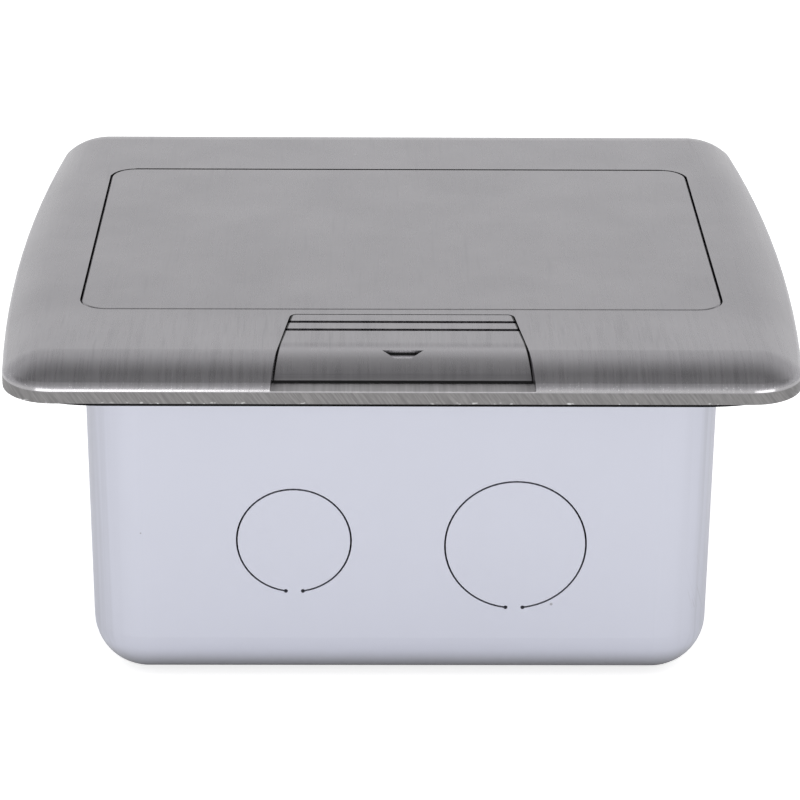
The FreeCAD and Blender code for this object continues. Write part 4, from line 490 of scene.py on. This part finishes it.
def cover_marks_and_painted_glints(tree, place, colour, rough, height):
    """Wheel marks on the upright rim, the cast underside, the rubbed crease with painted glints above it,
    and the slider's channel.
    """
    x, y, z = add(tree, "SeparateXYZ", {0: place}).outputs
    below_crease = ramp(tree, z, rim_top - 0.0003, rim_top + 0.0001, 1.0, 0.0)
    on_rim = times(tree, below_crease, maths(tree, "GREATER_THAN", z, gasket_top + 0.00001))
    turned = add(tree, "VectorRotate", {
        "Vector": place, "Angle": -0.95, "Axis": (0.0, 1.0, 0.0)}).outputs[0]
    wheel_lines = noise(tree, stretched(tree, turned, (190.0, 190.0, 2600.0)), 1.0, 3.0, 0.65)
    ground = ramp(tree, wheel_lines, 0.28, 0.74)
    foot = ramp(tree, z, gasket_top + 0.0001, gasket_top + 0.0005, 1.0, 0.0)
    chips = noise(tree, stretched(tree, place, (900.0, 900.0, 1200.0)), 1.0, 2.0)
    nicks = times(tree, foot, ramp(tree, chips, 0.60, 0.70))
    rim_shade = mixed(tree, ground, (0.182, 0.178, 0.178), (0.274, 0.268, 0.266))
    rim_shade = mixed(tree, nicks, rim_shade, (0.62, 0.62, 0.62))
    colour = mixed(tree, on_rim, colour, rim_shade)
    height = plus(tree, height, times(tree, times(tree, ground, on_rim), 2.2))

    underside = ramp(tree, z, gasket_top - 0.0001, gasket_top + 0.00005, 1.0, 0.0)
    cast = noise(tree, place, 1500.0, 3.0, 0.6)
    colour = mixed(tree, underside, colour, mixed(tree, cast, (0.16, 0.16, 0.165), (0.27, 0.27, 0.275)))
    rough = plus(tree, rough, times(tree, maths(tree, "MAXIMUM", on_rim, underside), 0.16))
    height = plus(tree, height, times(tree, times(tree, cast, underside), 3.0))

    between = maths(tree, "LESS_THAN", maths(tree, "ABSOLUTE", x), slider_high.x + 0.0006)
    before_lid = maths(tree, "LESS_THAN", y, lid_front)
    on_floor = times(tree, maths(tree, "LESS_THAN", z, rim_top + 0.0002),
                     maths(tree, "GREATER_THAN", z, rim_top - 0.00005))
    channel = times(tree, times(tree, between, before_lid), on_floor)
    above_rim = times(tree, ramp(tree, z, rim_top - 0.0002, rim_top + 0.0001), minus(tree, 1.0, channel))
    # Painted glints: bright specks on the band just above the crease stand in for the sparkle of the metal.
    glint_band = times(tree, ramp(tree, z, rim_top, rim_top + 0.0026, 1.0, 0.0), above_rim)
    painted_glints = fill(tree, specks, {"Place": place, "Scale": 3300.0, "Share": 0.34, "Size": 0.40}).outputs[0]
    polished = times(tree, ramp(tree, z, rim_top + 0.0002, rim_top + 0.0006, 1.0, 0.0), above_rim)
    milled = mixed(tree, satin_brushing(tree, place)["Grain"], (0.42, 0.41, 0.42), (0.56, 0.55, 0.56))
    colour = mixed(tree, times(tree, times(tree, painted_glints, glint_band), 0.60), colour, (0.72, 0.72, 0.73))
    colour = mixed(tree, times(tree, polished, 0.7), colour, (0.47, 0.46, 0.47))
    colour = mixed(tree, channel, colour, milled)
    rough = minus(tree, rough, times(tree, polished, 0.12))
    rough = plus(tree, rough, times(tree, channel, 0.35))
    return colour, rough, height


slider_back = lid_front - 0.0027
half_width_at_back, slider_taper = 0.0208, 0.1366
arrow_front = cover_low.y + 0.0075
arrow_back = cover_low.y + 0.0095
arrow_half_width = 0.0039
slope_at_arrow, slope_rise = cover_top - 0.0011, 0.35


def slider_wear_and_painted_shade(tree, place, colour, rough, height):
    """A slope worn bright by thumbs, painted shade on the front lip, and painted shadow in the arrow, beside
    the slider and under its front edge.
    """
    x, y, z = add(tree, "SeparateXYZ", {0: place}).outputs
    worn = times(tree, ramp(tree, z, cover_top - 0.0028, cover_top - 0.0018),
                 ramp(tree, z, cover_top - 0.0003, cover_top, 1.0, 0.0))
    worn = times(tree, worn, ramp(tree, y, slider_back - 0.016, slider_back - 0.013, 1.0, 0.0))
    colour = mixed(tree, times(tree, worn, 0.9), colour, (0.455, 0.445, 0.465))

    # Painted shadow in the arrow: the recess goes near black where it is deepest, toward its back wall.
    slope = plus(tree, times(tree, minus(tree, y, arrow_front), slope_rise), slope_at_arrow)
    depth = ramp(tree, minus(tree, slope, z), 0.00022, 0.00058)
    beside_middle = maths(tree, "LESS_THAN", maths(tree, "ABSOLUTE", x), arrow_half_width)
    along_arrow = times(tree, ramp(tree, y, arrow_front - 0.0005, arrow_front - 0.0001),
                        ramp(tree, y, arrow_back + 0.0001, arrow_back + 0.0005, 1.0, 0.0))
    painted_arrow_shadow = times(tree, times(tree, beside_middle, along_arrow), depth)
    colour = mixed(tree, times(tree, painted_arrow_shadow, 0.93), colour, (0.012, 0.012, 0.012))

    # Painted shadow in the gaps beside the slider: a thin strip along each side goes near black.
    widening = times(tree, minus(tree, slider_back, y), slider_taper)
    half_width = plus(tree, widening, half_width_at_back)
    from_side = minus(tree, half_width, maths(tree, "ABSOLUTE", x))
    colour = mixed(tree, ramp(tree, from_side, 0.00022, 0.00034, 1.0, 0.0), colour, (0.010, 0.010, 0.010))

    # Painted shade on the front lip: it is darkened and roughened, which hides the highlight on its rounded
    # edge.
    lip = ramp(tree, y, slider_low.y + 0.0016, slider_low.y + 0.0032, 1.0, 0.0)
    painted_lip_shade = times(tree, ramp(tree, z, rim_top + 0.0009, rim_top + 0.0021, 1.0, 0.0), lip)
    # Painted shadow under the front edge: the slider goes near black below its lowest 0.6 mm.
    painted_edge_shadow = ramp(tree, z, rim_top + 0.00060, rim_top + 0.00075, 1.0, 0.0)
    colour = mixed(tree, times(tree, painted_lip_shade, 0.62), colour, (0.045, 0.044, 0.046))
    colour = mixed(tree, times(tree, painted_edge_shadow, 0.97), colour, (0.006, 0.006, 0.006))
    rough = plus(tree, rough, times(tree, painted_lip_shade, 0.15))
    return colour, rough, height


dress(satin_metal("satin_cover", cover_marks_and_painted_glints), "cover_frame")
dress(satin_metal("satin_lid"), "lid_plate")
dress(satin_metal("satin_slider", slider_wear_and_painted_shade), "latch_slider")


# --- Plated steel, springs and contacts ----------------------------------------------------------
# Screws, latch bolt, retainer and keeper are bright zinc plate over pressed steel, and the earth
# screw's zinc is dyed green. Springs and hinge pins are polished wire and rod, contacts are brass.

def plated(name, colour, shade, rough_low, rough_high, grain=900.0):
    """Bright metal with a crystal grain and hair scratches."""
    material, tree, place = start_material(name)
    crystals = noise(tree, place, grain, 3.0, 0.6)
    cloud = noise(tree, place, 140.0, 2.0)
    rubbed = fill(tree, scratches, {"Place": place, "Turn": 0.9, "Fine": 1600.0, "Share": 0.25}).outputs[0]
    tone = mixed(tree, ramp(tree, cloud, 0.35, 0.7), colour, shade)
    tone = mixed(tree, times(tree, crystals, 0.25), tone, shade)
    tone = mixed(tree, times(tree, rubbed, 0.5), tone, tuple(min(1.0, part * 1.5) for part in colour))
    finish_material(
        tree, {"Metallic": 1.0}, Base_Color=tone,
        Roughness=ramp(tree, crystals, 0.3, 0.7, rough_low, rough_high, smooth=False),
        height=crystals, depth=0.00001, strength=0.25,
    )
    return material


dress(plated("zinc_plate", (0.36, 0.365, 0.36), (0.25, 0.255, 0.255), 0.30, 0.46),
      "cover_screws", "latch_retainer", "retainer_screws", "latch_bolt", "latch_screws", "lid_screws",
      "latch_keeper", "keeper_screws", "wiring_screws", "outlet_screws")
drawn_wire = plated("polished_wire", (0.46, 0.46, 0.47), (0.36, 0.36, 0.38), 0.16, 0.26, 2200.0)
dress(drawn_wire, "hinge_pins", "torsion_springs")
dress(plated("green_zinc", (0.025, 0.20, 0.045), (0.012, 0.12, 0.025), 0.30, 0.42), "ground_screw")
dress(plated("stamped_brass", (0.66, 0.46, 0.16), (0.50, 0.34, 0.11), 0.22, 0.36, 1200.0),
      "line_contacts", "neutral_contacts", "ground_contacts")

# The two springs behind the latch bolt, coiled again from polished wire in place of the CAD springs.
spring_low, spring_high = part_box("latch_springs")
spring_wire, spring_turns, steps_a_turn, latch_travel = 0.0005, 5, 20, 0.0035
spring_length = spring_high.y - spring_low.y
coil_radius = (spring_high.z - spring_low.z - spring_wire) / 2
coil_across = spring_high.x - coil_radius - spring_wire / 2
coil_start = spring_low.y + spring_wire / 2
coil_height = (spring_low.z + spring_high.z) / 2
coil_steps = spring_turns * steps_a_turn
coils = bmesh.new()
for side in (-1, 1):
    first_coil = set(coils.verts)
    section = bmesh.ops.create_circle(coils, segments=10, radius=spring_wire / 2)["verts"]
    bmesh.ops.translate(coils, verts=section, vec=(coil_radius, 0.0, 0.0))
    section_edges = [edge for edge in coils.edges if edge.verts[0] in section]
    bmesh.ops.spin(
        coils, geom=section + section_edges, cent=(0.0, 0.0, 0.0), axis=(0.0, 1.0, 0.0),
        dvec=(0.0, (spring_length - spring_wire) / coil_steps, 0.0), angle=math.tau * spring_turns,
        steps=coil_steps, use_merge=False, use_duplicate=False,
    )
    bmesh.ops.translate(
        coils, verts=[point for point in coils.verts if point not in first_coil],
        vec=(side * coil_across, coil_start, coil_height),
    )
bmesh.ops.holes_fill(coils, edges=[edge for edge in coils.edges if edge.is_boundary])
bmesh.ops.recalc_face_normals(coils, faces=coils.faces)
bolt_springs = finished_piece("bolt_springs", coils, drawn_wire, "base")
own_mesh(bolt_springs)
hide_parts("latch_springs")


# --- Moulded pieces ------------------------------------------------------------------------------
# The carrier, its back and the outlets' rears are spark-eroded black nylon, the outlet faces are
# polished black, and the hinge bushes are white acetal.

def moulded(name, colour, rough_low, rough_high, texture, depth, dust):
    """Plastic with the texture of its mould, flow marks, scratches and dust."""
    material, tree, place = start_material(name)
    eroded = noise(tree, place, texture, 3.0, 0.65)
    flow = noise(tree, place, 60.0, 2.0)
    worn = fill(tree, scratches, {"Place": place, "Turn": 1.2, "Fine": 1300.0, "Share": 0.16}).outputs[0]
    motes = fill(tree, specks, {"Place": place, "Scale": 900.0, "Share": dust, "Size": 0.12}).outputs[0]
    light = tuple(min(1.0, part * 1.7 + 0.01) for part in colour)
    lightest = tuple(min(1.0, part * 2.5 + 0.03) for part in colour)
    tone = mixed(tree, times(tree, ramp(tree, flow, 0.35, 0.7), 0.4), colour, light)
    tone = mixed(tree, times(tree, worn, 0.25), tone, lightest)
    tone = mixed(tree, times(tree, motes, 0.3), tone, (0.45, 0.44, 0.42))
    finish_material(
        tree, {"Specular IOR Level": 0.5}, Base_Color=tone,
        Roughness=ramp(tree, eroded, 0.3, 0.7, rough_low, rough_high, smooth=False),
        height=eroded, depth=depth, strength=0.4,
    )
    return material


dress(moulded("black_nylon", (0.020, 0.020, 0.022), 0.42, 0.60, 2400.0, 0.00004, 0.05),
      "socket_carrier", "wiring_cover", "outlet_backs")
dress(moulded("polished_black", (0.014, 0.014, 0.016), 0.14, 0.22, 500.0, 0.00001, 0.04),
      "outlet_left", "outlet_right")
dress(moulded("white_acetal", (0.76, 0.76, 0.73), 0.34, 0.44, 1200.0, 0.00001, 0.0), "hinge_bushes")
